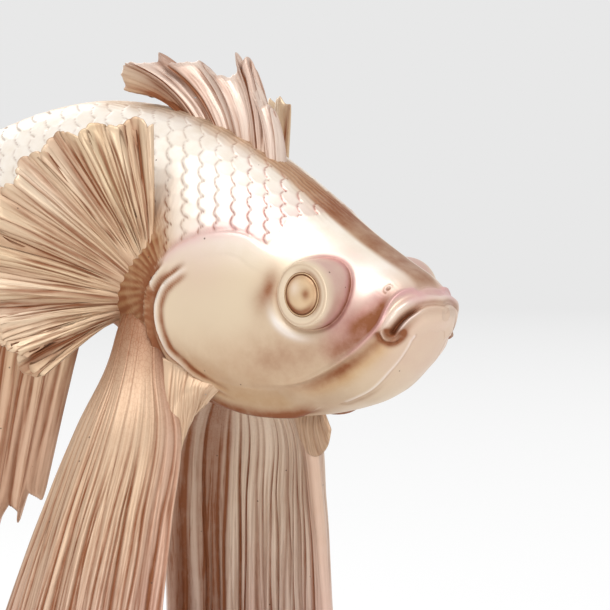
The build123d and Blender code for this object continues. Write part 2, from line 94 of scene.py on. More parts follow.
# Lines carved on the head, seen from the side, in mm forward of the eye's centre and above eye level
gill_outer_line = [
    (-56.5, 11.5), (-58.6, 8.6), (-61.6, 4.8), (-63.5, 2), (-65.2, -3.5), (-65.8, -9.1),
    (-65.6, -15.3), (-64.4, -20.7), (-62.6, -25.0), (-59.8, -29.0), (-55.5, -33), (-49.5, -36.8),
    (-42, -39.8), (-33, -41.8), (-23, -42.4), (-13, -41.4), (-4, -38.6),
]
gill_inner_line = [
    (-46.1, 9.3), (-49.4, 7.6), (-52.2, 5.5), (-56.5, 1.5), (-59, -3.5), (-59.6, -10),
    (-58.6, -15.7), (-56.8, -20.6), (-52.7, -24.4), (-48.7, -28.2), (-43.8, -31.2),
    (-38.6, -33.9), (-33.7, -36.2), (-28.1, -37.9), (-22.9, -38.5), (-15.6, -38.6),
]
gill_upper_line = [
    (-60.5, 9.0), (-56.2, 13.8), (-51.9, 17), (-47.9, 18.8), (-43.6, 20.2), (-38.6, 21.1),
    (-33.7, 21.4), (-27.1, 20.2), (-21, 16.5), (-17.8, 14.8), (-10.4, 11.5),
]
scale_front_line = [
    (-62, 9.0), (-56.2, 14.4), (-51.9, 17.6), (-43.6, 20.8), (-33.7, 22), (-27.1, 20.6),
    (-20.2, 16.8), (-16.8, 20.3), (-15.8, 25.8), (-11.5, 26.5), (-8.6, 28), (-5, 29.5), (-3, 34),
]
maxilla_line = [
    (-21.3, -32), (-14.3, -31.4), (-6.6, -30.1), (1.6, -27), (10, -22.5), (18.1, -16.8),
    (24.5, -9.7), (26.5, -4.6), (27.7, -1.2), (29.5, 1.4), (30.9, 2.2), (33.6, 1.6),
]
mouth_line = [
    (28.6, -12.6), (30.0, -10.4), (32.3, -7.2), (34.4, -4.8), (35.8, -3.2), (37.0, -2.4), (38.2, -2.1),
    (39.4, -2.4),
]
lip_fold_line = [(24.8, -11.4), (26.3, -14.6), (28.4, -15.7), (30.9, -14.4)]
jaw_seam_line = [
    (3.6, -37.3), (8.3, -35.7), (14.6, -33.3), (21.5, -29.2), (28.1, -23.6), (32.1, -18.7), (34.4, -14.8),
]
nostril_spot = (24.5, 2.6)
cheek_hollow = (20, -9)
# How far the middle of the cast eye and its seat lies above eye level
eye_rise = 0.2

# Tables of the fins, as in the part's source
ventral_root_share = -0.085
right_ventral_shares = [
    (0.00, (0.428, 0.320), (0.461, 0.350), (0.488, 0.280)),
    (0.11, (0.402, 0.405), (0.457, 0.485), (0.500, 0.345)),
    (0.21, (0.368, 0.450), (0.457, 0.645), (0.530, 0.425)),
    (0.37, (0.363, 0.530), (0.480, 0.780), (0.575, 0.530)),
    (0.58, (0.366, 0.600), (0.512, 0.890), (0.622, 0.640)),
    (0.80, (0.360, 0.640), (0.532, 0.985), (0.662, 0.725)),
    (1.00, (0.345, 0.675), (0.540, 1.050), (0.690, 0.773)),
]
left_ventral_shares = [
    (0.00, (0.428, 0.320), (0.461, 0.350), (0.488, 0.280)),
    (0.11, (0.402, 0.405), (0.457, 0.485), (0.520, 0.345)),
    (0.21, (0.368, 0.450), (0.457, 0.645), (0.583, 0.425)),
    (0.37, (0.363, 0.530), (0.490, 0.780), (0.625, 0.530)),
    (0.58, (0.366, 0.600), (0.518, 0.890), (0.652, 0.640)),
    (0.80, (0.360, 0.640), (0.534, 0.985), (0.675, 0.725)),
    (1.00, (0.345, 0.675), (0.540, 1.050), (0.690, 0.773)),
]
tail_shares = [
    (0.00, (0.960, 1.160), (0.985, 1.045)),
    (0.14, (1.085, 1.215), (1.040, 0.985)),
    (0.32, (1.225, 1.175), (1.075, 0.845)),
    (0.52, (1.345, 0.960), (1.095, 0.655)),
    (0.74, (1.412, 0.560), (1.098, 0.370)),
    (1.00, (1.428, 0.000), (1.085, 0.000)),
]
dorsal_root_shares = [(0.296, 0.400), (0.345, 0.470), (0.400, 0.530), (0.455, 0.590)]
dorsal_tip_shares = [
    (0.316, 0.700), (0.322, 0.742), (0.330, 0.736), (0.343, 0.790), (0.352, 0.860), (0.360, 0.935),
    (0.368, 0.905), (0.376, 0.950), (0.384, 0.880), (0.396, 0.850), (0.420, 0.872), (0.450, 0.925),
    (0.480, 0.915), (0.515, 0.912), (0.533, 0.960), (0.546, 0.915), (0.575, 0.922), (0.603, 0.915),
    (0.607, 0.870), (0.588, 0.805), (0.540, 0.775),
]
anal_row_shares = [
    (0.00, (0.655, 0.060), (0.960, 0.180)),
    (0.30, (0.690, -0.230), (0.995, -0.030)),
    (0.65, (0.735, -0.620), (1.010, -0.420)),
    (1.00, (0.790, -1.120), (1.020, -0.980)),
]
anal_outline_shares = [
    (0.670, 0.200), (0.682, -0.220), (0.700, -0.440), (0.735, -0.700), (0.768, -0.905), (0.782, -0.870),
    (0.805, -1.005), (0.826, -0.930), (0.852, -1.060), (0.880, -0.965), (0.905, -1.040), (0.930, -0.930),
    (0.957, -0.965), (0.975, -0.820), (0.993, -0.760), (0.996, -0.450), (0.978, -0.120), (0.965, 0.250),
]
pectoral_root_shares = [(0.417, 0.435, 0.122), (0.498, 0.345, -0.085)]
pectoral_rim_shares = [
    0.93, 0.97, 0.92, 0.98, 0.94, 1.00, 0.95, 1.00, 0.94, 0.99, 0.92, 0.96, 0.89, 0.94, 0.87, 0.91,
    0.83, 0.88, 0.80, 0.83, 0.74,
]
right_throat_root_shares = [(0.312, 0.346, -0.356), (0.412, 0.412, -0.254)]
left_throat_root_shares = [(0.296, 0.250, -0.400), (0.352, 0.290, -0.350)]
right_throat_tip_shares = [
    (0.340, 0.372, -0.436), (0.364, 0.392, -0.510), (0.367, 0.440, -0.591), (0.367, 0.482, -0.708),
    (0.364, 0.534, -0.883), (0.358, 0.572, -1.040),
]
left_throat_tip_shares = [
    (0.276, 0.285, -0.560), (0.284, 0.295, -0.620), (0.298, 0.310, -0.658), (0.314, 0.325, -0.675),
    (0.330, 0.335, -0.668), (0.344, 0.345, -0.630), (0.356, 0.355, -0.560),
]

# Pleats of the fins, and where along a pleat the hanging fins begin
hanging_folds, short_folds = 8, 6
fold_start = 0.125
# Thickness of the short fins at the root and the rim, and how far they wave, curl, lean and bow, in mm
dorsal_thickness, dorsal_wave = (7, 2.6), 1.9
anal_thickness, anal_wave = (7, 3.4), 2.2
pectoral_thickness, pectoral_wave, pectoral_curl, pectoral_lean = (4.4, 1.4), 2.0, 3, 15
throat_thickness, throat_bow = (2.6, 1.2), 3.1
# The fan's swing back from square to the flank, and the turn of its last ray below level, in degrees
pectoral_swing, pectoral_last_turn = 40, -42

# Sizes of the finishes' patterns, in mm. Metal flakes, drawn lines in steel and the fibres of felt are
# under 0.1 mm, too fine to show, so theirs are drawn coarser.
brush_mark, flake_size, crackle_cell, pinhole_spacing = 9, 0.9, 1.7, 9
streak_pitch, streak_run = 1.1, 22
steel_line, felt_nap = 0.5, 0.6

# The camera of the photograph: how far it stands to the fish's front right, and what one pixel spans
camera_turn = math.radians(39)
camera_rise = math.radians(2)
camera_range = 1300
pixel_span = 0.35
picture_side = 610
eye_column = 358.5
eye_row = 293
sensor_side = 36


def linear(code):
    """Linear colour of an sRGB hex value."""
    parts = [int(code[i:i + 2], 16) / 255 for i in (1, 3, 5)]
    return tuple(c / 12.92 if c <= 0.04045 else ((c + 0.055) / 1.055) ** 2.4 for c in parts)


def size_setting(label, note, default):
    """A length that a user may change, in millimetres."""
    return bpy.props.FloatProperty(name=label, description=note, default=default, min=0, unit="NONE")


def colour_setting(label, note, code):
    """A paint colour that a user may change."""
    return bpy.props.FloatVectorProperty(
        name=label, description=note, default=linear(code), subtype="COLOR", size=3, min=0, max=1)


class FigurineSizes(bpy.types.PropertyGroup):
    """Sizes of the figurine, in millimetres."""

    body_length: size_setting("Body length", "From the lips to the end of the trunk", 252)
    body_depth: size_setting("Body depth", "Depth that the body's heights are shares of", 90)
    body_width: size_setting("Body width", "Width that the body's widths are shares of", 77)
    snout_reach: size_setting("Snout reach", "How far the lips lie forward of the middle", 180)
    eye_height: size_setting("Eye height", "Height of the eyes above the ground", 205)
    eye_back: size_setting("Eye back", "How far the eyes lie behind the lips", 40)
    eye_face_side: size_setting("Eye face", "How far an eye's face lies from the middle", 31.5)
    eye_boss_radius: size_setting("Eye boss radius", "Radius of the raised seat round an eye", 11.2)
    eye_radius: size_setting("Eye radius", "Radius of a cast eye", 8.4)
    eye_dome: size_setting("Pupil dome", "How far the pupil swells out of the eye", 2.0)
    scale_length: size_setting("Scale length", "Spacing of the rows of scales along the body", 6.5)
    scale_width: size_setting("Scale width", "Spacing of the scales in a row", 5.3)
    ventral_hem: size_setting("Ventral hem", "Thickness of the ventral fins at the ground", 7)
    ventral_root: size_setting("Ventral root", "Thickness of the ventral fins at the belly", 15)
    ventral_wave: size_setting("Ventral wave", "Depth of the pleats of the ventral fins", 4)
    tail_sway: size_setting("Tail sway", "How far the tail swings to each side", 17)
    tail_wave: size_setting("Tail wave", "Depth of the tail's pleats", 6)
    pad_thickness: size_setting("Pad thickness", "Thickness of the felt under the hems", 1.5)
    right_pectoral_reach: size_setting("Right pectoral reach", "Length of the right fan's rays", 62)
    left_pectoral_reach: size_setting("Left pectoral reach", "Length of the left fan's rays", 71)


class FigurineColours(bpy.types.PropertyGroup):
    """Paint colours of the figurine."""

    champagne: colour_setting("Champagne", "Metallic paint of the body", "#D8C4A8")
    rose: colour_setting("Rose", "Metallic paint of the long fins", "#DCC3A9")
    # Pearl is pale paint and also painted highlight: it lightens the upper flanks, ridges, lips, pupils and
    # the far curtain as light would
    pearl: colour_setting("Pearl", "Pale paint of the upper flanks", "#F6EEE4")
    blush: colour_setting("Blush", "Pink paint brushed on edges and rays", "#D3A6A2")
    # The wash colour is the brown wash in recesses and also painted shade, painted shadow and painted
    # reflection: under ridges and lips, behind the gill plate and the eye, over the lower face and on the
    # forehead crest
    wash: colour_setting("Wash", "Brown wash in the recesses", "#8A5230")
    # Gilt is ochre paint and also painted light: shade on the lower face, under the cheek ridge and the
    # dorsal fold, the crest's painted reflection and a highlight on the gill rim
    gilt: colour_setting("Gilt", "Warm ochre rubbed over the upper edges", "#C79A58")
    floor: colour_setting("Floor", "Floor under the figurine", "#F6F6F6")


def sizes():
    """The size settings."""
    return bpy.context.scene.figurine_sizes


def colours():
    """The colour settings."""
    return bpy.context.scene.figurine_colours


def unit(vectors):
    """Vectors scaled to a length of one."""
    return vectors / np.maximum(np.linalg.norm(vectors, axis=-1, keepdims=True), 1e-9)


def fade(values, low, high):
    """0 below low, 1 above high, and a smooth rise between them."""
    share = np.clip((values - low) / (high - low), 0, 1)
    return share * share * (3 - 2 * share)


def plateau(values, low, full, last, high):
    """1 from full to last, falling smoothly to 0 at low and at high."""
    return fade(values, low, full) * fade(-values, -high, -last)


def bell(values, width):
    """1 at zero, falling smoothly away over the given width."""
    return np.exp(-(values / width) ** 2)


def wander(values, seed, waves=4):
    """A slow, irregular wave between about -1 and 1."""
    rng = np.random.default_rng(seed)
    total = 0
    for turn in range(1, waves + 1):
        total = total + np.sin(math.tau * (turn * rng.uniform(0.7, 1.3) * values + rng.uniform())) / turn
    return total / 1.6


def smooth_rows(knots, table, at):
    """A table's values between its rows, on a smooth curve through them."""
    knots, table, at = np.asarray(knots, float), np.asarray(table, float), np.asarray(at, float)
    slopes = np.gradient(table, knots, axis=0)
    row = np.clip(np.searchsorted(knots, at, side="right") - 1, 0, len(knots) - 2)
    shape = (-1,) + (1,) * (table.ndim - 1)
    span = (knots[row + 1] - knots[row]).reshape(shape)
    t = ((at - knots[row]).reshape(shape)) / span
    rise = t * t * (3 - 2 * t)
    return ((1 - rise) * table[row] + rise * table[row + 1]
            + span * t * (1 - t) * ((1 - t) * slopes[row] - t * slopes[row + 1]))


def body_place(along, out, rise, side):
    """A place from its shares of length, width and depth, on the given side."""
    s = sizes()
    return np.stack(np.broadcast_arrays(
        s.snout_reach - along * s.body_length,
        side * out * s.body_width,
        s.eye_height + rise * s.body_depth), axis=-1)


def sections(along):
    """Top, bottom, half width and widest level of the body at each share of its length, in mm."""
    s = sizes()
    rows = smooth_rows(np.sqrt(section_shares[:, 0]), section_shares[:, 1:], np.sqrt(along))
    top, bottom, half, widest = rows.T
    return (s.eye_height + top * s.body_depth, s.eye_height + bottom * s.body_depth,
            half * s.body_width, s.eye_height + widest * s.body_depth)


def half_width(x, z):
    """How far the body's skin lies from the middle at the given place seen from the side."""
    s = sizes()
    top, bottom, half, widest = sections(np.clip((s.snout_reach - x) / s.body_length, 0, 1))
    above = z >= widest
    reach = np.where(above, top - widest, widest - bottom)
    power = np.where(above, back_power_share, keel_power_share)
    sine = np.clip(np.abs(z - widest) / reach, 0, 1) ** (1 / power)
    return half * np.sqrt(1 - sine ** 2) ** power


def head_line(spots, count=90):
    """A smooth line on the right of the head through places seen from the side, in the row frame."""
    s = sizes()
    spots = np.array(spots, float)
    steps = np.concatenate([[0], np.cumsum(np.hypot(*np.diff(spots, axis=0).T))])
    flat = smooth_rows(steps, spots, np.linspace(0, steps[-1], count))
    x, z = flat[:, 0] + s.snout_reach - s.eye_back, flat[:, 1] + s.eye_height
    return np.stack([x, RIGHT * half_width(x, z), z], axis=1)


def nearest(points, line, limit):
    """Distance of each point from a line, the share of the line there, and 1 above it or -1 below.

    Points farther away than the limit keep that distance.
    """
    gap, along, above = np.full(len(points), float(limit)), np.zeros(len(points)), np.ones(len(points))
    low, high = line.min(0) - limit, line.max(0) + limit
    close = np.nonzero(((points > low) & (points < high)).all(1))[0]
    chosen = points[close]
    best, share, side = np.full(len(close), float(limit)), np.zeros(len(close)), np.ones(len(close))
    for turn, (start, end) in enumerate(zip(line[:-1], line[1:])):
        step = end - start
        t = np.clip((chosen - start) @ step / (step @ step), 0, 1)
        offset = chosen - start - t[:, None] * step
        distance = np.sqrt((offset ** 2).sum(1))
        nearer = distance < best
        best[nearer] = distance[nearer]
        share[nearer] = (turn + t[nearer]) / (len(line) - 1)
        side[nearer] = np.where(step[0] * offset[nearer, 2] - step[2] * offset[nearer, 0] >= 0, 1, -1)
    gap[close], along[close], above[close] = best, share, side
    return gap, along, above


def inside(x, z, outline):
    """Whether places seen from the side lie within a closed outline."""
    result = np.zeros(np.shape(x), bool)
    for (x0, z0), (x1, z1) in zip(outline, list(outline[1:]) + [outline[0]]):
        if z0 == z1:
            continue
        crosses = (z0 > z) != (z1 > z)
        result ^= crosses & (x < (x1 - x0) * (z - z0) / (z1 - z0) + x0)
    return result


def grid_normals(grid):
    """Unit normals of a grid of points."""
    return unit(np.cross(np.gradient(grid, axis=0), np.gradient(grid, axis=1)))


def grid_quads(rows, columns, wrap=False):
    """Corner numbers of the faces of a grid, closed across its columns if asked."""
    index = np.arange(rows * columns).reshape(rows, columns)
    if wrap:
        index = np.concatenate([index, index[:, :1]], axis=1)
    return np.stack([index[:-1, :-1], index[1:, :-1], index[1:, 1:], index[:-1, 1:]], axis=-1).reshape(-1, 4)


def make_piece(name, points, faces, material, slot, nodes, **fields):
    """A smooth mesh that rides on the figurine and stands for its CAD nodes."""
    mesh = bpy.data.meshes.new(name)
    mesh.from_pydata((np.asarray(points) * MM).tolist(), [], [list(face) for face in faces])
    mesh.shade_smooth()
    for field, values in fields.items():
        kept = values if field in ("ray", "run") else np.clip(values, 0, 1)
        attribute = mesh.attributes.new(field, "FLOAT", "POINT")
        attribute.data.foreach_set("value", np.asarray(kept, np.float32).ravel())
    mesh.materials.append(material)
    piece = bpy.data.objects.new(name, mesh)
    bpy.context.scene.collection.objects.link(piece)
    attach(piece, "root")
    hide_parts(*nodes)
    return piece


def thick_sheet(middle, normals, front, back):
    """Points and faces of a closed sheet round a middle grid, with its thickness on each side."""
    rows, columns = front.shape
    outer = middle + normals * front[..., None]
    inner = middle - normals * back[..., None]
    points = np.concatenate([outer, inner[:, ::-1]], axis=1)
    faces = grid_quads(rows, 2 * columns, wrap=True).tolist()
    for start, flip in ((0, False), ((rows - 1) * 2 * columns, True)):
        for k in range(columns - 1):
            face = [start + k, start + k + 1, start + 2 * columns - 2 - k, start + 2 * columns - 1 - k]
            faces.append(face[::-1] if flip else face)
    return points.reshape(-1, 3), faces


def both_sides(front, back):
    """A field of a thick sheet, in the order of its points."""
    return np.concatenate([front, back[:, ::-1]], axis=1).ravel()


def rib_profile(phase, sharpness=2.0):
    """Rounded ridges with narrow grooves: 1 on a ridge and 0 in a groove."""
    return 1 - np.abs(np.cos(math.pi * phase)) ** sharpness


def carved_lines(across, along, count, seed, width, sway=0.008):
    """Depth, 0 to 1, of irregular grooves that run the length of a fin.

    Each groove has its own place, strength and width, wanders a little and fades at its ends.
    """
    rng = np.random.default_rng(seed)
    depth = np.zeros_like(across)
    for number in range(count):
        place = (number + 0.5 + rng.uniform(-0.38, 0.38)) / count
        strength = rng.uniform(0.35, 1.0)
        span = width * rng.uniform(0.6, 1.5)
        start, end = rng.uniform(-0.1, 0.25), rng.uniform(0.8, 1.3)
        line = place + sway * wander(along * 0.9, seed + 7 * number)
        run = fade(along, start, start + 0.15) * fade(-along, -end, -end + 0.2)
        depth = np.maximum(depth, strength * run * bell(across - line, span))
    return depth


def in_row(along, out, height):
    """Places from shares of length behind the lips, and from distances out and up."""
    s = sizes()
    return np.stack([s.snout_reach - along * s.body_length, out, height], axis=-1)


def turned_out(normals, way):
    """A grid's normals, turned so that the middle one points the given way."""
    rows, columns = normals.shape[:2]
    return normals if (normals[rows // 2, columns // 2] * way).sum() >= 0 else -normals


def faces_out(faces, side):
    """Faces of a piece of the given side, turned so that they look outwards."""
    return faces if side == RIGHT else [face[::-1] for face in faces]


def tapered(thickness, reach):
    """Half the thickness of a fin on its way from root to rim."""
    root, rim = thickness
    return (root + (rim - root) * reach) / 2


def rounded_edge(reach, across, rim, flank=0.02, least=0.02):
    """How much of its thickness a fin keeps, 0 to 1, as it rounds off at its rim and its end rays."""
    ends = np.minimum(across - across.min(), across.max() - across)
    return np.sqrt(np.clip((1 - reach) / rim, 0, 1)) * np.sqrt(np.clip(ends / flank, least, 1))


def hanging_thickness(drop, across, last=1.0):
    """Half the thickness of a hanging sheet: thick at its root and middle, thin at its hem and edges."""
    s = sizes()
    thick = s.ventral_root + (s.ventral_hem - s.ventral_root) * np.sqrt(drop)
    return thick * (0.3 + 0.7 * np.sqrt(np.sin(math.pi * across / last).clip(0, 1))) / 2


def valleys(pleat, sharpness=2.4):
    """How deep each place lies in a pleat's valley, 0 to 1, seen from the front and from behind."""
    return [((1 + turn * pleat) / 2).clip(0) ** sharpness for turn in (-1, 1)]


def fin_piece(name, points, faces, paint, slot, node, across, along, front, back, spans, **both):
    """A fin's mesh with its paint: its wash differs between its two sides, and streaks follow its rays.

    The spans are the fin's rough width across its rays and length along them.
    """
    both.setdefault("ribbed", 1 + 0 * across)
    fields = {key: both_sides(value, value) for key, value in both.items()}
    fields["wash"] = both_sides(front, back)
    ray, run = across * spans[0] / streak_pitch, along * spans[1] / streak_run
    fields["ray"], fields["run"] = both_sides(ray, ray + 40), both_sides(run, run)
    points = np.clip(points, np.array(frame_low) / MM, np.array(frame_high) / MM)
    return make_piece(name, points, faces, paint_named(paint), slot, [node], **fields)


def add_node(tree, kind, settings=None, links=None):
    """Adds a node, sets its properties and socket values, and links its inputs."""
    node = tree.nodes.new(kind)
    for key, value in (settings or {}).items():
        if isinstance(key, str) and hasattr(node, key):
            setattr(node, key, value)
        else:
            node.inputs[key].default_value = value
    for key, source in (links or {}).items():
        tree.links.new(source, node.inputs[key])
    return node


def new_material(name):
    """An empty node material."""
    material = bpy.data.materials.new(name)
    material.use_nodes = True
    material.node_tree.nodes.clear()
    return material, material.node_tree


def coats(tree, base, layers):
    """Colour of a base under coats laid over it in turn, each in its own colour and by its own share."""
    colour = None
    for share, tone in layers:
        settings = {"data_type": "RGBA", 6: (*base, 1), 7: (*tone, 1)}
        node = add_node(tree, "ShaderNodeMix", settings, {0: share})
        if colour is not None:
            tree.links.new(colour, node.inputs[6])
        colour = node.outputs[2]
    return colour


def metallic_paint(name, base, rayed):
    """Metallic paint sprayed on cast resin, then toned by hand with a thin brown wash.

    The metal flakes give it a broad, soft shine, pale where it faces the light, and the wash stays
    darker and duller in every recess. Its brown coat also carries painted shade, painted shadow and
    painted reflection, and its pearl coat painted highlight. On a rayed piece fine streaks of the wash
    follow the rays, and its smooth root is crackled.
    """
    paint = colours()
    material, tree = new_material(name)
    place = add_node(tree, "ShaderNodeTexCoord").outputs["Object"]
    brushing = add_node(tree, "ShaderNodeTexNoise",
                        {"Scale": 1 / (brush_mark * MM), "Detail": 5, "Roughness": 0.62},
                        {"Vector": place}).outputs["Fac"]
    grain = add_node(tree, "ShaderNodeTexNoise", {"Scale": 1 / (flake_size * MM), "Detail": 3},
                     {"Vector": place}).outputs["Fac"]
    spread = 0.10 if rayed else 0.25
    uneven = add_node(tree, "ShaderNodeMapRange",
                      {"From Min": 0.3, "From Max": 0.7, "To Min": 1 - spread, "To Max": 1 + spread},
                      {"Value": brushing}).outputs["Result"]
    shares = {}
    for field in ("wash", "blush", "pearl", "gilt"):
        value = add_node(tree, "ShaderNodeAttribute", {"attribute_name": field}).outputs["Fac"]
        shares[field] = add_node(tree, "ShaderNodeMath", {"operation": "MULTIPLY", "use_clamp": True},
                                 {0: value, 1: uneven}).outputs[0]
    relief_source = grain
    if rayed:
        ray, run, ribbed = [add_node(tree, "ShaderNodeAttribute", {"attribute_name": field}).outputs["Fac"]
                            for field in ("ray", "run", "ribbed")]
        flat = add_node(tree, "ShaderNodeCombineXYZ", links={"X": ray, "Y": run}).outputs[0]
        streaks = add_node(tree, "ShaderNodeTexNoise", {"Scale": 1.0, "Detail": 4, "Roughness": 0.65},
                           {"Vector": flat}).outputs["Fac"]
        lines = add_node(tree, "ShaderNodeMapRange",
                         {"From Min": 0.52, "From Max": 0.76, "To Min": 0, "To Max": 0.42},
                         {"Value": streaks}).outputs["Result"]
        cells = add_node(tree, "ShaderNodeTexVoronoi",
                         {"feature": "DISTANCE_TO_EDGE", "Scale": 1 / (crackle_cell * MM), "Randomness": 1},
                         {"Vector": place}).outputs["Distance"]
        crackle = add_node(tree, "ShaderNodeMapRange",
                           {"From Min": 0.0, "From Max": 0.10, "To Min": 0.13, "To Max": 0},
                           {"Value": cells}).outputs["Result"]
        marks = add_node(tree, "ShaderNodeMix", links={0: ribbed, 2: crackle, 3: lines}).outputs[0]
        shares["wash"] = add_node(tree, "ShaderNodeMath", {"operation": "ADD", "use_clamp": True},
                                  {0: shares["wash"], 1: marks}).outputs[0]
        relief_source = add_node(tree, "ShaderNodeMath", {"operation": "SUBTRACT"},
                                 {0: grain, 1: marks}).outputs[0]
    pits = add_node(tree, "ShaderNodeTexVoronoi", {"Scale": 1 / (pinhole_spacing * MM)},
                    {"Vector": place}).outputs["Distance"]
    pinholes = add_node(tree, "ShaderNodeMapRange",
                        {"From Min": 0.030, "From Max": 0.045, "To Min": 0.85, "To Max": 0},
                        {"Value": pits}).outputs["Result"]
    # The pearl coat is partly painted highlight, and the wash and gilt coats partly painted shade and painted
    # reflection
    colour = coats(tree, base, (
        (shares["pearl"], paint.pearl), (shares["blush"], paint.blush), (shares["gilt"], paint.gilt),
        (shares["wash"], paint.wash), (pinholes, linear("#5E4636"))))
    gloss = add_node(tree, "ShaderNodeMapRange", {"To Min": 0.34, "To Max": 0.58},
                     {"Value": shares["wash"]}).outputs["Result"]
    relief = add_node(tree, "ShaderNodeBump", {"Strength": 0.16, "Distance": 0.12 * MM},
                      {"Height": relief_source}).outputs["Normal"]
    shader = add_node(tree, "ShaderNodeBsdfPrincipled", {"Metallic": 0.45, "IOR": 1.5},
                      {"Base Color": colour, "Roughness": gloss, "Normal": relief}).outputs[0]
    add_node(tree, "ShaderNodeOutputMaterial", links={"Surface": shader})
    return material


def brushed_steel():
    """Drawn and brushed steel of the dowels: a cool grey with fine streaks."""
    material, tree = new_material("brushed_dowel_steel")
    place = add_node(tree, "ShaderNodeTexCoord").outputs["Object"]
    streaks = add_node(tree, "ShaderNodeTexNoise", {"Scale": 1 / (steel_line * MM), "Detail": 2},
                       {"Vector": place}).outputs["Fac"]
    gloss = add_node(tree, "ShaderNodeMapRange", {"To Min": 0.25, "To Max": 0.45},
                     {"Value": streaks}).outputs["Result"]
    shader = add_node(tree, "ShaderNodeBsdfPrincipled",
                      {"Metallic": 1.0, "Base Color": (*linear("#A9A9AB"), 1)},
                      {"Roughness": gloss}).outputs[0]
    add_node(tree, "ShaderNodeOutputMaterial", links={"Surface": shader})
    return material


def pressed_felt():
    """Pressed wool felt of the foot pads: matte brown with a soft nap."""
    material, tree = new_material("pressed_wool_felt")
    place = add_node(tree, "ShaderNodeTexCoord").outputs["Object"]
    nap = add_node(tree, "ShaderNodeTexNoise", {"Scale": 1 / (felt_nap * MM), "Detail": 6},
                   {"Vector": place}).outputs["Fac"]
    colour = coats(tree, linear("#5A4638"), ((nap, linear("#84694F")),))
    relief = add_node(tree, "ShaderNodeBump", {"Strength": 0.5, "Distance": 0.2 * MM},
                      {"Height": nap}).outputs["Normal"]
    shader = add_node(tree, "ShaderNodeBsdfPrincipled", {"Roughness": 0.95, "Sheen Weight": 0.3},
                      {"Base Color": colour, "Normal": relief}).outputs[0]
    add_node(tree, "ShaderNodeOutputMaterial", links={"Surface": shader})
    return material


def paint_named(name):
    """The material of that name, made once."""
    made = bpy.data.materials.get(name)
    if made:
        return made
    paint = colours()
    base, rayed = {
        "champagne_metallic_paint": (paint.champagne, False),
        "champagne_rayed_paint": (paint.champagne, True),
        "rose_rayed_paint": (paint.rose, True),
    }[name]
    return metallic_paint(name, tuple(base), rayed)


class Skin:
    """The right half of the body: its places, how far each is raised, and its share of each paint."""

    def __init__(self, points):
        s = sizes()
        self.points = points
        self.x, self.z = points[:, 0] - s.snout_reach + s.eye_back, points[:, 2] - s.eye_height
        self.width = np.abs(points[:, 1])
        self.lift, self.wash, self.blush, self.pearl, self.gilt = np.zeros((5, len(points)))

    def near(self, spots, count, limit):
        """Distance from a carved line of so many points, the share along it, and 1 above it or -1 below."""
        return nearest(self.points, head_line(spots, count), limit)


def scale_relief(back, down):
    """Height of overlapping scales and the depth of the wash behind their edges, both 0 to 1.

    Each row's free edge is scalloped and lies over the next row behind it.
    """
    overlap, bluntness = 0.42, 0.55
    height, recess = np.zeros_like(back), np.zeros_like(back)
    done = np.zeros(back.shape, bool)
    first = np.floor(back).astype(int) - 1
    behind = np.full(back.shape, -9.0)
    for step in range(4):
        row = first + step
        across = down + 0.5 * (row % 2)
        cell = across - np.floor(across)
        edge = row + overlap * (1 - (2 * cell - 1) ** 2) ** bluntness
        here = ~done & (back < edge)
        height = np.where(here, 1 - (edge - back) * 0.8, height)
        recess = np.where(here, behind, recess)
        behind = np.where(done, behind, edge)
        done |= here
    return np.clip(height, 0, 1), back - recess


# In the functions below a bell's first number is how far in mm a ridge or groove lies from its line, and
# its second is how fast it falls away. Before it stands its height in mm, or its share of a paint.


def carve_gill_cover(skin):
    """A raised plate with two thin ridges along its rear edge and a rolled rim below, with painted highlight
    on the ridges, painted shadow outside the plate's edge and painted shade in copper along the rim.
    """
    gap, along, above = skin.near(gill_outer_line, count=150, limit=16)
    inward = gap * above
    ends = plateau(along, 0.0, 0.05, 0.85, 1.0)
    rear = plateau(along, 0.0, 0.10, 0.50, 0.68)
    skin.lift += 1.8 * fade(inward, -0.7, 0.7) * bell(np.maximum(inward, 0), 9) * ends
    skin.lift += (0.7 * bell(inward - 0.8, 0.8) - 1.1 * bell(inward - 2.7, 0.9)) * rear
    # Painted highlight on the outer ridge, and wash in the groove inside it
    skin.pearl += 0.8 * bell(inward - 0.7, 0.7) * rear
    skin.wash += 1.1 * bell(inward - 2.9, 1.0) * rear
    # Painted shadow on the flank just outside the plate's edge
    skin.wash += 0.95 * bell(inward + 1.3, 2.0) * ends * (inward < 0.1)
    # The rolled rim under the plate, with painted shade along its outer underside and a painted highlight in
    # gilt above it
    rim = plateau(along, 0.32, 0.50, 0.88, 1.0)
    skin.lift += 1.2 * bell(inward - 3.4, 2.4) * rim
    skin.wash += 1.0 * fade(-inward, -8.0, -3.0) * (inward > 0) * rim
    skin.gilt += 0.30 * bell(inward - 11, 5.0) * rim
    # The inner ridge with a painted highlight on it, and a groove behind it
    gap, along, above = skin.near(gill_inner_line, count=120, limit=12)
    outward = -gap * above
    run = plateau(along, 0.0, 0.08, 0.55, 0.78)
    skin.lift += (1.2 * bell(gap, 0.9) - 1.0 * bell(outward - 2.1, 1.0)) * run
    skin.pearl += 0.8 * bell(gap, 0.7) * run
    skin.wash += (1.1 * bell(outward - 2.1, 0.9) + 0.9 * bell(outward + 2.0, 1.1)) * run
    # The plate's upper edge, a low step with pink along it
    gap, along, above = skin.near(gill_upper_line, count=90, limit=8)
    down = -gap * above
    ends = plateau(along, 0.0, 0.1, 0.6, 1.0)
    skin.lift += 0.9 * fade(down, -0.8, 0.8) * bell(np.maximum(down, 0), 6) * ends
    skin.blush += 0.45 * bell(gap, 2.5) * ends
    skin.wash += 0.16 * bell(-down - 0.7, 0.8) * ends


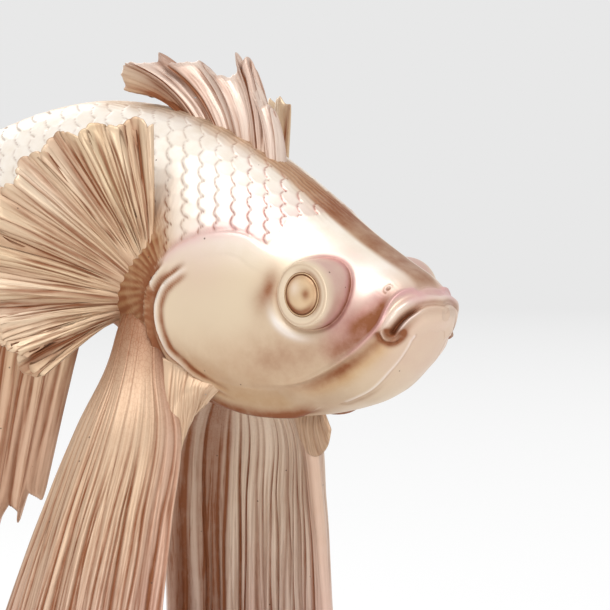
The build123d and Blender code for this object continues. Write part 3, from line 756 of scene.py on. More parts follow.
def carve_cheek(skin):
    """The long ridge behind the lips, with a copper hollow above it and a hollow below it in painted shade.
    """
    gap, along, above = skin.near(maxilla_line, count=90, limit=16)
    signed = gap * above
    ends = plateau(along, 0.0, 0.35, 0.94, 1.0)
    over = plateau(along, 0.36, 0.58, 0.84, 0.96) * (signed > 0)
    under = plateau(along, 0.10, 0.38, 0.68, 0.82) * (signed < 0)
    skin.lift += 1.1 * bell(gap, 0.95) * ends
    skin.lift -= 1.3 * bell(signed - 4.4, 3.2) * over + 0.9 * bell(signed + 3.2, 2.2) * under
    # Wash in the hollow above the ridge, and painted shade in brown and gilt under it
    skin.wash += 0.50 * bell(signed - 2.4, 3.0) * over + 0.62 * bell(signed + 3.1, 2.4) * under
    skin.gilt += 0.5 * bell(signed + 5.0, 4.0) * under
    skin.blush += 0.60 * bell(signed - 5.0, 5.0) * over + 0.8 * bell(gap, 1.1) * fade(along, 0.40, 0.62)
    # A slanted copper hollow in front of the eye
    x, z = skin.x - cheek_hollow[0], skin.z - cheek_hollow[1]
    length, side = 0.86 * x + 0.5 * z, -0.5 * x + 0.86 * z
    hollow = bell(np.hypot(length / 2.3, side), 5.4) * (signed > 0) * fade(signed, 0.6, 2.2)
    skin.wash += 0.95 * hollow
    skin.blush += 0.70 * hollow
    # A swelling under the eye, and the nostril
    skin.lift += 0.5 * bell(np.hypot((skin.x + 11) / 1.6, skin.z + 33), 4)
    ring = np.hypot(skin.x - nostril_spot[0], skin.z - nostril_spot[1])
    skin.lift += 0.2 * bell(ring - 0.9, 0.3) - 0.6 * bell(ring, 0.5)
    skin.wash += 0.8 * bell(ring, 0.55) + 0.45 * bell(ring - 1.4, 0.3) * (skin.x < nostril_spot[0])


def carve_lips(skin):
    """A thick upper roll and a thin lower rim that meet round the corner of the mouth, and the slit, with
    painted highlight on the lips and painted shade under them.
    """
    line = head_line(mouth_line, 70)
    gap, along, above = nearest(skin.points, line, 12)
    # Behind the corner of the mouth, the start of its line drawn backwards parts upper lip from lower
    tangent = unit(line[5] - line[0])
    offset = skin.points - line[0]
    beyond = fade(tangent[0] * offset[:, 2] - tangent[2] * offset[:, 0], -1.5, 1.5)
    up = np.where(along > 0, above > 0, beyond)
    front, low = fade(along, 0.52, 0.84), 1 - up
    # The snout and the chin draw in to the outline of the real mouth
    skin.lift -= 2.3 * fade(skin.x, 26, 38) + 1.5 * fade(skin.x, 14, 32) * fade(-skin.z, 4, 14)
    skin.lift -= 1.5 * fade(skin.x, 6, 24) * fade(-skin.z, 16, 28)
    skin.lift += (2.1 - 1.0 * front) * bell(gap - 2.9, 2.0) * up * fade(gap * up + 12 * low, 0.2, 1.5)
    rim = (1.15 - 0.8 * front) * bell(gap - 1.6, 0.75)
    skin.lift += low * (rim + 1.1 * bell(gap - 6.5, 4.2) * fade(along, 0.0, 0.25))
    skin.lift -= (1.9 - 1.7 * front) * bell(gap, 0.85 - 0.3 * front)
    # Wash in the slit, and painted shade under the upper roll
    skin.wash += bell(gap, 1.0 - 0.4 * front) * (1 - 0.65 * front) + 0.45 * bell(gap - 1.3, 0.7) * up
    # Painted shade under the lower rim, strongest at the corner
    corner = 1 - fade(along, 0.0, 0.75)
    skin.wash += low * (0.65 * bell(gap - 3.6, 1.6) * corner + 0.15 * bell(gap - 3, 1.4))
    # Painted highlight along the lower rim and on the upper roll
    skin.pearl += 0.9 * bell(gap - 1.5, 0.6) * low * (1 - front) + 0.5 * bell(gap - 3.2, 1.2) * up
    # The small fold under the corner of the mouth, with a painted highlight on it and brown beside it
    gap, along = skin.near(lip_fold_line, count=30, limit=6)[:2]
    run = plateau(along, 0, 0.2, 0.8, 1)
    skin.lift += (0.9 * bell(gap, 0.6) - 0.5 * bell(gap - 1.5, 0.7)) * run
    skin.wash += 0.6 * bell(gap - 1.8, 1.2) * fade(along, 0.0, 0.1)
    skin.pearl += 0.5 * bell(gap, 0.5) * run
    # The fine raised seam along the lower jaw, pale on top, with painted shadow below it
    gap, along, above = skin.near(jaw_seam_line, count=60, limit=8)
    signed = gap * above
    skin.lift += 0.22 * bell(gap, 0.45)
    skin.pearl += 0.65 * bell(gap, 0.6)
    skin.wash += 0.20 * bell(signed + 0.9, 0.4) + 0.30 * bell(signed + 2.5, 1.3) * fade(-along, -0.5, -0.2)


def seat_eye(skin):
    """The cheek round the eye's seat: a pink crease with painted shade in it, a painted highlight below and
    painted shade behind.
    """
    x, z = skin.x, skin.z - eye_rise
    ring, turn = np.hypot(x, z), np.arctan2(z, x)
    clear = fade(ring, 10.5, 13.5)
    for field in (skin.lift, skin.wash, skin.blush):
        field *= clear
    front = fade(np.cos(turn - 0.35), -0.25, 0.35)
    skin.blush += 0.9 * bell(ring - 12.4, 1.3) * front + 0.35 * bell(ring - 14.5, 2.4) * front
    # Painted shade in the crease round the seat's foot
    skin.wash += 0.55 * bell(ring - 12.4, 0.9) * front + 0.40 * bell(ring - 12.4, 0.7) * (1 - front)
    skin.lift -= 0.5 * bell(ring - 12.6, 0.8)
    # A painted highlight below the eye, on a low swelling
    glint = bell(ring - 15.6, 1.5) * bell(turn + 2.2, 0.5)
    skin.pearl += 1.2 * glint
    skin.lift += 0.7 * glint
    # Painted shade behind the eye
    skin.wash += 0.75 * bell(np.hypot(x + 15.5, (skin.z - 3.5) / 1.9), 3.0)
    skin.wash += 0.40 * bell(np.hypot(x + 18, (skin.z + 3) / 1.5), 4)


def paint_forehead(skin):
    """A painted reflection in copper along the crest of the forehead, and tan wrinkles along the back."""
    x, z, width = skin.x, skin.z, skin.width
    band_edge = 5.5 - 1.5 * fade(x, 10, 30)
    # Painted reflection: a copper band of wash, gilt and pink over the crest
    skin.crest = fade(-width, -8.5, -band_edge) * plateau(x, -50, -22, 29, 33) * (z > 0)
    skin.wash += skin.crest * (0.32 + 0.42 * fade(x, -24, -5))
    skin.gilt += 0.25 * skin.crest
    skin.blush += 0.35 * skin.crest * fade(-x, -12, 10)
    # The crease behind the upper lip, and pink on the snout
    skin.lift -= 0.8 * bell(x - 31.4, 0.9) * (z > -2) * fade(-width, -9, -5)
    skin.blush += 0.6 * bell(np.hypot(x - 33.5, z - 1), 3.5)
    wrinkle = rib_profile(width / 2.1 + 0.3 * wander(x / 60, 5) + 0.15 * wander(x / 9, 6), 1.2)
    skin.back = (1 - fade(width + 2 * wander(x / 40, 12), 2, 13)) * (z > 18) * fade(-x, -2, 22)
    skin.lift += 0.35 * wrinkle * skin.back
    skin.wash += skin.back * (0.10 + 0.42 * (1 - wrinkle))
    skin.gilt += 0.30 * skin.back


def carve_scales(skin):
    """Overlapping scales behind the head, pink at the head, grey on the flank and brown at the shoulder,
    where painted shadow lies between the pectoral fan and the gill cover.
    """
    s = sizes()
    x, z, width = skin.x, skin.z, skin.width
    head = inside(x, z, scale_front_line + [(-3, 80), (80, 80), (80, -80), (-62, -80)])
    gap = skin.near(scale_front_line, count=90, limit=6)[0]
    skin.rough = np.where(head, 0, fade(-x, 58, 62) * plateau(z, -40, -30, 13, 27))
    clear = np.where(head, 0, fade(gap, 0.0, 0.8)) * fade(z - 0.12 * (x + 60), -12, 0) * (1 - skin.rough)
    back = (-x + 0.8 * (width - 30)) / (s.scale_length * 1.15)
    down = (0.55 * z + 17 * np.arctan2(z - 6, width)) / s.scale_width
    height, recess = scale_relief(back, down)
    on_flank = fade(width, 4, 9)
    skin.lift += (0.65 * height - 0.2) * clear * on_flank
    edge = bell(recess, 0.10) * clear * on_flank
    warm = fade(-x, 30, 64) * fade(-z, -46, -8)
    near = fade(x, -52, -28)
    skin.wash += edge * (0.42 + 0.58 * warm + 0.15 * near)
    skin.blush += edge * (1 - warm) * near + 0.45 * clear * near * fade(-z, -40, -22)
    skin.gilt += 0.30 * clear * warm * (0.4 + 0.6 * height)
    # Strands of the shoulder, which fan out from the root of the pectoral fin, with wash between them and
    # painted shadow over the patch behind the gill cover
    fan_turn = np.arctan2(z - 1, -(x + 54))
    strands = rib_profile((-x + 0.25 * z) / 1.9 + 0.6 * wander(z / 20, 8), 1.3)
    strands = np.where(skin.rough > 0.4, rib_profile(fan_turn * 7, 1.2), strands)
    shoulder = bell(np.hypot((x + 63) / 0.7, (z - 16) / 1.8), 9) * np.where(head, 0, 1)
    shoulder = np.maximum(shoulder, skin.rough)
    skin.lift += 0.5 * shoulder * strands
    skin.gilt += 0.6 * shoulder
    skin.wash += shoulder * (0.50 + 0.45 * (1 - strands))


def paint_tones(skin):
    """Painted highlight on the upper flanks and forehead sides, painted shade in tan and ochre over the lower
    face and in darker patches on the cheek, and pink here and there.
    """
    x, z = skin.x, skin.z
    # Painted highlight on the upper flanks and on the forehead side
    skin.pearl += 0.80 * fade(z, 4, 26) * (1 - skin.crest) * (1 - 0.7 * skin.back) * (1 - skin.rough)
    skin.pearl += 0.80 * bell(np.hypot(x - 17, (z - 6) * 1.3), 11)
    # Painted shade: ochre and brown on the lower face, and darker patches on the cheek
    skin.gilt += 0.18 * fade(-z, 8, 34) * fade(-x, -24, 30)
    skin.wash += 0.20 * fade(-z, 2, 26) * fade(-x, -30, 10) + 0.08 * fade(-z, 8, 26)
    skin.wash += 0.30 * bell(np.hypot((x + 13) / 1.5, z + 20), 9)
    skin.wash += 0.25 * bell(np.hypot(x - 6, (z + 19) / 0.8), 7)
    skin.blush += 0.28 * fade(x, 10, 34) + 0.24 * bell(np.hypot(x + 44, z - 14), 14)


def carve_body(grid, normals):
    """Carves the right half of the body and paints it: new points and the paint fields."""
    skin = Skin(grid.reshape(-1, 3))
    for step in (carve_gill_cover, carve_cheek, carve_lips, seat_eye, paint_forehead, carve_scales,
                 paint_tones):
        step(skin)
    carved = skin.points + normals.reshape(-1, 3) * skin.lift[:, None]
    # The lips round off softly where the body's length ends
    limit, soft = sizes().snout_reach, 0.7
    carved[:, 0] = limit - soft * np.logaddexp(0, (limit - carved[:, 0]) / soft)
    fields = dict(wash=skin.wash, blush=skin.blush, pearl=skin.pearl, gilt=skin.gilt)
    return carved.reshape(grid.shape), fields


def body_half():
    """The right half of the body as a grid, with its outward normals."""
    head_share, head_rows, trunk_rows, ring_points = 0.45, 300, 120, 231
    head = np.linspace(0, 1, head_rows) ** 2 * head_share
    along = np.concatenate([head, np.linspace(head_share, 1, trunk_rows + 1)[1:]])
    turns = np.linspace(-math.pi / 2, math.pi / 2, ring_points)
    top, bottom, half, widest = (v[:, None] for v in sections(along))
    rise, out = np.sin(turns), np.cos(turns)
    power = np.where(rise >= 0, back_power_share, keel_power_share)
    y = RIGHT * half * np.abs(out) ** power
    z = widest + np.where(rise >= 0, top - widest, widest - bottom) * np.sign(rise) * np.abs(rise) ** power
    s = sizes()
    x = np.broadcast_to((s.snout_reach - along * s.body_length)[:, None], y.shape)
    grid = np.stack([x, y, z], axis=-1)
    normals = -grid_normals(grid)
    normals[0] = normals[1]
    return grid, normals


def close_ends(grid):
    """Adds rows that close a half body flat at both ends."""
    def shrunk(row, share):
        middle = np.array([row[0, 0], 0, row[:, 2].mean()])
        return middle + (row - middle) * share
    front = [shrunk(grid[0], share) for share in (0.0, 0.5, 0.85)]
    rear = [shrunk(grid[-1], share) for share in (0.97, 0.5, 0.0)]
    return np.concatenate([front, grid, rear])


def stretch_ends(values, rows, columns):
    """A field of the carved half, with the values of its end rows repeated on the added rows."""
    values = values.reshape(rows, columns)
    return np.concatenate([values[:1]] * 3 + [values] + [values[-1:]] * 3)


class FIGURINE_OT_body(bpy.types.Operator):
    """Build the carved and painted body"""

    bl_idname = "figurine.body"
    bl_label = "Body"

    def execute(self, context):
        grid, normals = body_half()
        rows, columns = grid.shape[:2]
        carved, fields = carve_body(grid, normals)
        carved[..., 0] = np.minimum(carved[..., 0], sizes().snout_reach)
        carved[:, 0, 1] = carved[:, -1, 1] = 0
        closed = close_ends(carved)
        fields = {name: stretch_ends(values, rows, columns) for name, values in fields.items()}
        faces = grid_quads(*closed.shape[:2])
        paint = paint_named("champagne_metallic_paint")
        for name, side in (("right_body_half", RIGHT), ("left_body_half", LEFT)):
            points = (closed * (1, -side, 1)).reshape(-1, 3)
            make_piece(name, points, faces_out(faces, side), paint, "champagne_resin", ["body_shell"],
                       **fields)
        return {"FINISHED"}


def cast_eye(name, side, node):
    """An eye with a domed pupil inside two thin grooves and a flat ring."""
    s = sizes()
    pupil, inner_groove, outer_groove, flat_ring = 6.6, 6.9, 7.75, 8.4
    rim = (flat_ring, s.eye_radius, s.eye_radius, 0.02)
    rim_out = (0.15, -0.3, -2.3, -2.3)
    radii = np.concatenate([np.linspace(0.02, pupil, 30), np.linspace(6.7, 8.3, 28), rim])
    turns = np.linspace(0, math.tau, 145)[:-1]
    dome = s.eye_dome * np.clip(1 - (radii / inner_groove) ** 2.2, 0, 1)
    out = dome + 0.12 - 0.60 * bell(radii - inner_groove, 0.22) - 0.40 * bell(radii - outer_groove, 0.18)
    out += 0.25 * bell(radii - 7.3, 0.3)
    out[-len(rim):] = rim_out
    r, t = np.meshgrid(radii, turns, indexing="ij")
    level, rise = r * np.cos(t), r * np.sin(t)
    grid = np.stack([s.snout_reach - s.eye_back + level, side * (s.eye_face_side + out[:, None] + 0 * r),
                     s.eye_height + eye_rise + rise], axis=-1)
    # The wash lies in the grooves and round the pupil's foot. The spot on the pupil's front is a painted
    # reflection, and the darker lower side of the pupil's foot and front of the ring are painted shade
    wash = 0.95 * bell(r - inner_groove, 0.26) + 0.85 * bell(r - outer_groove, 0.2)
    wash += 0.90 * bell(np.hypot(level - 3.0, (rise - 0.2) / 1.3), 1.6) * (r < pupil)
    wash += 0.75 * bell(r - 5.9, 1.2) * (r < 6.8) * fade(-rise - 0.3 * level, -1, 5)
    wash += 0.30 * bell(r - 6.1, 0.8) * (r < 6.8) + 0.45 * fade(r, 7.9, 8.6) * fade(level, 0, 6)
    # Painted highlight on the upper back of the pupil
    pearl = 1.0 * bell(np.hypot(level + 2.2, rise - 2.4), 2.6)
    faces = faces_out(grid_quads(*r.shape, wrap=True), side)
    make_piece(name, grid.reshape(-1, 3), faces, paint_named("champagne_metallic_paint"), "rose_resin",
               [node], wash=wash, blush=0.08 + 0 * r, pearl=pearl, gilt=0.45 + 0 * r)


def eye_seat(name, side):
    """A drum that carries the eye: a rounded ring, then a wall that flares into the cheek."""
    s = sizes()
    sink, flare, ring_edge = 1.2, 1.3, s.eye_boss_radius - 0.2
    centre = np.array([s.snout_reach - s.eye_back, s.eye_height + eye_rise])
    turns = np.linspace(0, math.tau, 181)[:-1]
    foot = s.eye_boss_radius + 1.8
    skin_side = half_width(centre[0] + foot * np.cos(turns), centre[1] + foot * np.sin(turns))
    depth = np.maximum(s.eye_face_side - skin_side, 1.0) + sink
    ring_radii = np.linspace(s.eye_radius - 0.6, ring_edge, 12)
    ring_out = 0.45 * np.sin(math.pi * (ring_radii - ring_radii[0]) / (ring_radii[-1] - ring_radii[0]))
    drop = depth[None, :] * np.linspace(0, 1, 30)[:, None] ** 1.3
    wall_radii = ring_edge + flare * (1 - np.exp(-drop / 2.4))
    radii = np.concatenate([ring_radii[:, None] + 0 * turns, wall_radii])
    out = np.concatenate([ring_out[:, None] + 0 * turns, -drop])
    grid = np.stack([centre[0] + radii * np.cos(turns), side * (s.eye_face_side + out),
                     centre[1] + radii * np.sin(turns)], axis=-1)
    to_foot = -out - (depth - sink)
    front = fade(np.cos(turns - 0.35), -0.25, 0.35) + 0 * radii
    wall = np.clip(-out / 4, 0, 1)
    # Painted shade in the crease at the drum's foot and along the ring's inner edge on its front, wash in the
    # groove at the ring's outer edge, and the wall toned darker
    wash = 0.70 * bell(to_foot, 1.5) * fade(np.cos(turns + 0.5), -0.1, 0.6)
    wash += 0.6 * bell(radii - s.eye_radius, 0.9) * fade(np.cos(turns - 0.4), -0.2, 0.8)
    wash += 0.35 * bell(to_foot, 0.7) * (1 - front) + 0.30 * bell(radii - s.eye_boss_radius + 0.9, 0.35)
    wash += 0.20 * wall
    blush = 0.60 * wall * front + 0.9 * bell(to_foot, 2.2) * front
    faces = faces_out(grid_quads(*radii.shape, wrap=True), side)
    make_piece(name, grid.reshape(-1, 3), faces, paint_named("champagne_metallic_paint"), "champagne_resin",
               ["body_shell"], wash=wash, blush=blush, pearl=0.2 + 0 * radii, gilt=0.15 * (1 - wall))


class FIGURINE_OT_eyes(bpy.types.Operator):
    """Build the two cast eyes and their seats"""

    bl_idname = "figurine.eyes"
    bl_label = "Eyes"

    def execute(self, context):
        cast_eye("right_cast_eye", RIGHT, "right_eye")
        cast_eye("left_cast_eye", LEFT, "left_eye")
        eye_seat("right_eye_seat", RIGHT)
        eye_seat("left_eye_seat", LEFT)
        return {"FINISHED"}


def ventral_fin(side, shares, name, node, seed, last, rays, cut, groove_tone, wash, bare_rear, hollow, gilt,
                pearl):
    """A hanging curtain: pleats that deepen to the hem, with irregular grooves over them.

    It runs across to the last share of its level, and the cut is the width of its grooves. The tones
    are those of its grooves, its ground, the bare rear of its root, the painted shadow in the hollow on
    its inner side, the gilt and the pearl. Ground, gilt and pearl differ between the two curtains as
    painted light: darker paint on the near one, paler paint on the far one that the lamps leave in shade.
    """
    s = sizes()
    rows, columns = 200, 225
    buried = -0.09
    drop, across = np.linspace(buried, 1, rows), np.linspace(0, last, columns)
    table = np.array([row[1:] for row in shares])
    levels = smooth_rows([row[0] for row in shares], table, drop)
    front, bulge, rear = np.moveaxis(levels, 1, 0)[:, :, None, :]
    t = across[None, :, None]
    plan = front * (1 - t) * (1 - 2 * t) + bulge * 4 * t * (1 - t) + rear * t * (2 * t - 1)
    root = s.eye_height + ventral_root_share * s.body_depth
    z = root + (s.pad_thickness - root) * drop[:, None] + 0 * across
    middle = in_row(plan[..., 0], side * plan[..., 1] * s.body_width, z)
    normals = turned_out(grid_normals(middle), (0, side, 0))
    d, a = np.meshgrid(drop.clip(0, 1), across, indexing="ij")
    shifted = a + 0.006 * wander(d * 1.1, seed)
    pleat = np.cos(math.tau * (hanging_folds * shifted + fold_start + 0.08 * wander(a * 1.3, seed + 2)))
    pleat = pleat * fade(d, 0.0, 0.7) * (0.75 + 0.25 * wander(a * 2.2, seed + 6))
    middle = middle + normals * (s.ventral_wave * d * pleat)[..., None]
    major = carved_lines(a, d, count=rays, seed=seed + 3, width=cut, sway=0.012)
    minor = carved_lines(a, d, count=2 * rays + 8, seed=seed + 4, width=0.0032)
    ribbed = fade(d, 0.10, 0.34)
    thick = hanging_thickness(d, a, last) * (0.5 + 0.5 * fade(drop, buried, 0.06))[:, None]
    thick = thick + (0.25 - (1.0 * major + 0.35 * minor) * (0.25 + 0.75 * ribbed))
    valley_front, valley_back = [valley * fade(d, 0.05, 0.5) for valley in valleys(pleat)]
    ground = groove_tone * major * (0.35 + 0.65 * ribbed) + 0.40 * minor * ribbed + wash
    root_tone = 0.65 * bell(d, 0.13) * (1 - bare_rear * fade(a, 0.45, 0.8))
    # Painted shadow: the hollow between the curtains, darkened on the inner side of the far one
    copper = hollow * fade(a, 0.76, 0.84) * (0.8 + 0.3 * wander(a * 6, seed + 8))
    blush = 0.60 * fade(d, 0.28, 0.70) * (0.6 + 0.4 * wander(a * 2 + 0.3, seed + 5))
    blush = blush + 0.45 * (1 - fade(a, 0.04, 0.16))
    front = 0.20 * valley_front + ground + root_tone
    back = 0.08 * valley_back + ground + 0.3 * root_tone + copper
    points, faces = thick_sheet(middle, normals, thick, thick)
    points[:, 2] = np.maximum(points[:, 2], s.pad_thickness)
    fin_piece(name, points, faces_out(faces, side), "rose_rayed_paint", "rose_resin", node, a, d, front, back,
              spans=(80, 196), blush=blush, pearl=pearl + 0 * d, gilt=0.24 * (1 - fade(d, 0.30, 0.80)) + gilt,
              ribbed=ribbed)


class FIGURINE_OT_ventral_fins(bpy.types.Operator):
    """Build the two hanging ventral fins"""

    bl_idname = "figurine.ventral_fins"
    bl_label = "Ventral fins"

    def execute(self, context):
        # Painted light: the near curtain gets a darker ground, and the far one, which the lamps leave in
        # shade, pearl and gilt
        ventral_fin(
            RIGHT, right_ventral_shares, "right_ventral_curtain", "right_ventral_fin", seed=11, last=1.0,
            rays=38, cut=0.0046, groove_tone=0.85, wash=0.18, bare_rear=0, hollow=0, gilt=0, pearl=0.1)
        ventral_fin(
            LEFT, left_ventral_shares, "left_ventral_curtain", "left_ventral_fin", seed=47, last=1.06,
            rays=18, cut=0.0080, groove_tone=1.15, wash=0.02, bare_rear=1, hollow=0.72, gilt=0.14,
            pearl=0.85)
        return {"FINISHED"}


class FIGURINE_OT_tail(bpy.types.Operator):
    """Build the hanging tail"""

    bl_idname = "figurine.tail"
    bl_label = "Tail"

    def execute(self, context):
        s = sizes()
        rows, columns = 190, 230
        reach, across = np.linspace(0, 1, rows), np.linspace(0, 1, columns)
        table = np.array([row[1:] for row in tail_shares])
        upper, lower = np.moveaxis(smooth_rows([row[0] for row in tail_shares], table, reach), 1, 0)
        share = across[None, :, None]
        flat = lower[:, None, :] * (1 - share) + upper[:, None, :] * share
        d, a = np.meshgrid(reach, across, indexing="ij")
        middle = in_row(flat[..., 0], s.tail_sway * d * np.sin(math.tau * a), flat[..., 1] * s.eye_height)
        normals = turned_out(grid_normals(middle), (0, LEFT, 0))
        pleat = np.cos(math.tau * (hanging_folds * (a + 0.006 * wander(d, 71)) + fold_start))
        middle = middle + normals * (s.tail_wave * d * pleat)[..., None]
        major = carved_lines(a, d, count=28, seed=73, width=0.0075)
        minor = carved_lines(a, d, count=50, seed=74, width=0.0045, sway=0.005)
        ribbed = 0.3 + 0.7 * fade(d, 0.05, 0.3)
        thick = hanging_thickness(d, a) + (0.25 - (1.0 * major + 0.35 * minor) * ribbed)
        points, faces = thick_sheet(middle, normals, thick, thick)
        points[:, 2] = np.maximum(points[:, 2], s.pad_thickness)
        groove = 0.85 * major * ribbed + 0.32 * minor + 0.3 * bell(d, 0.15)
        front, back = [0.4 * valley * d + groove for valley in valleys(pleat)]
        blush = 0.6 * fade(d, 0.3, 0.8) * (0.6 + 0.4 * wander(a * 2, 75))
        fin_piece("hanging_tail", points, faces, "rose_rayed_paint", "rose_resin", "tail_fin", a, d, front,
                  back, spans=(90, 200), blush=blush, pearl=0 * d, gilt=0.4 * (1 - d))
        return {"FINISHED"}


def median_fin(name, node, row_shares, outline, folds, thickness, wave, seed):
    """A ragged fin in the middle plane, whose rays end on the given outline."""
    s = sizes()
    rows, columns, tries = 110, 300, 400
    knots = [row[0] for row in row_shares]
    table = np.array([row[1:] for row in row_shares])
    # How far each ray runs before it leaves the outline
    tried, across = np.linspace(0, 1, tries), np.linspace(0, 1, columns)
    ends = np.moveaxis(smooth_rows(knots, table, tried), 1, 0)
    share = across[None, :, None]
    fans = ends[0][:, None, :] * (1 - share) + ends[1][:, None, :] * share
    within = inside(fans[..., 0], fans[..., 1], outline)
    last = np.where(within.any(0), tried[tries - 1 - np.argmax(within[::-1], axis=0)], 0.3)
    kept = across[within.any(0)]
    a = np.linspace(kept.min(), kept.max(), columns)
    r = np.linspace(0, 1, rows)
    reach = r[:, None] * np.interp(a, across, last)[None, :]
    flat_ends = smooth_rows(knots, table, reach.ravel()).reshape(rows, columns, 2, 2)
    flat = flat_ends[..., 0, :] * (1 - a[None, :, None]) + flat_ends[..., 1, :] * a[None, :, None]
    run, t = np.meshgrid(r, a, indexing="ij")
    pleat = np.cos(math.tau * folds * t)
    sway = wave * pleat * (0.35 + 0.65 * reach)
    middle = in_row(flat[..., 0], sway, s.eye_height + flat[..., 1] * s.body_depth)
    normals = np.zeros_like(middle)
    normals[..., 1] = RIGHT
    major = carved_lines(t, run, count=24, seed=seed, width=0.009)
    minor = carved_lines(t, run, count=44, seed=seed + 1, width=0.005)
    edge = rounded_edge(run, t, 0.04)
    thick = tapered(thickness, run) * (0.25 + 0.75 * edge) + (0.2 - 0.7 * major - 0.25 * minor) * edge
    points, faces = thick_sheet(middle, normals, thick, thick)
    groove = 0.8 * major + 0.3 * minor + 0.35 * bell(run, 0.25)
    front, back = [groove + 0.3 * valley for valley in valleys(pleat, 1)]
    fin_piece(name, points, faces, "rose_rayed_paint", "rose_resin", node, t, run, front, back,
              spans=(80, 90), blush=0.4 * fade(run, 0.3, 0.8), pearl=0 * run, gilt=0.3 + 0 * run)


def swept_dorsal():
    """The dorsal fin: rays that leave a short root and sweep back to a ragged edge."""
    s = sizes()
    rows, columns = 100, 380
    a = np.linspace(0, 1, columns)
    roots = smooth_rows(np.linspace(0, 1, len(dorsal_root_shares)), dorsal_root_shares, a)
    tip_places = np.array(dorsal_tip_shares)
    runs = np.hypot(*(np.diff(tip_places, axis=0) * (s.body_length, s.body_depth)).T)
    steps = np.concatenate([[0], np.cumsum(runs)])
    tips = np.stack([np.interp(a * steps[-1], steps, tip_places[:, k]) for k in (0, 1)], axis=1)
    reach, across = np.meshgrid(np.linspace(0, 1, rows), a, indexing="ij")
    major = carved_lines(across, reach, count=22, seed=23, width=0.0070, sway=0.004)
    minor = carved_lines(across, reach, count=40, seed=24, width=0.0036, sway=0.004)
    notch = 1 - 0.07 * major[-1] - 0.02 * np.abs(wander(a * 9, 25))
    tips = roots + (tips - roots) * notch[:, None]
    bend = (roots + tips) / 2 + np.stack([-0.012 - 0.028 * a, 0.055 + 0.045 * a], axis=1)
    r3 = reach[..., None]
    flat = roots * (1 - r3) ** 2 + bend * 2 * r3 * (1 - r3) + tips * r3 ** 2
    pleat = np.cos(math.tau * short_folds * across)
    sway = dorsal_wave * pleat * (0.35 + 0.65 * reach)
    middle = in_row(flat[..., 0], sway, s.eye_height + flat[..., 1] * s.body_depth)
    normals = np.zeros_like(middle)
    normals[..., 1] = RIGHT
    edge = rounded_edge(reach, across, 0.06)
    thick = tapered(dorsal_thickness, reach) * (0.2 + 0.8 * edge)
    thick = thick + (0.2 - 0.75 * major - 0.25 * minor) * edge
    points, faces = thick_sheet(middle, normals, thick, thick)
    # Painted shade under the folded rear of the fin, darkest near the root, and brown lines on some rays
    under = fade(across, 0.70, 0.93)
    tone = under * (0.25 + 0.65 * fade(-reach, -0.95, -0.6)) + 0.25 * bell(across - 0.22, 0.06)
    tone = tone + 0.55 * bell(across - 0.62, 0.07) * fade(reach, 0.1, 0.4) + 0.3 * bell(across - 0.45, 0.03)
    front, back = [0.75 * major + 0.25 * minor + 0.2 * valley + tone for valley in valleys(pleat, 1)]
    # Painted highlight over the front and middle of the fin
    pearl = 0.70 * (1 - under) * fade(reach, 0.0, 0.4)
    fin_piece("swept_dorsal_fin", points, faces, "rose_rayed_paint", "rose_resin", "dorsal_fin", across,
              reach, front, back, spans=(90, 40), blush=0.22 * (1 - under), pearl=pearl,
              gilt=0.3 * under + 0.10)


class FIGURINE_OT_median_fins(bpy.types.Operator):
    """Build the dorsal and anal fins"""

    bl_idname = "figurine.median_fins"
    bl_label = "Dorsal and anal fins"

    def execute(self, context):
        swept_dorsal()
        median_fin("ragged_anal_fin", "anal_fin", anal_row_shares, anal_outline_shares, short_folds,
                   anal_thickness, anal_wave, seed=29)
        return {"FINISHED"}


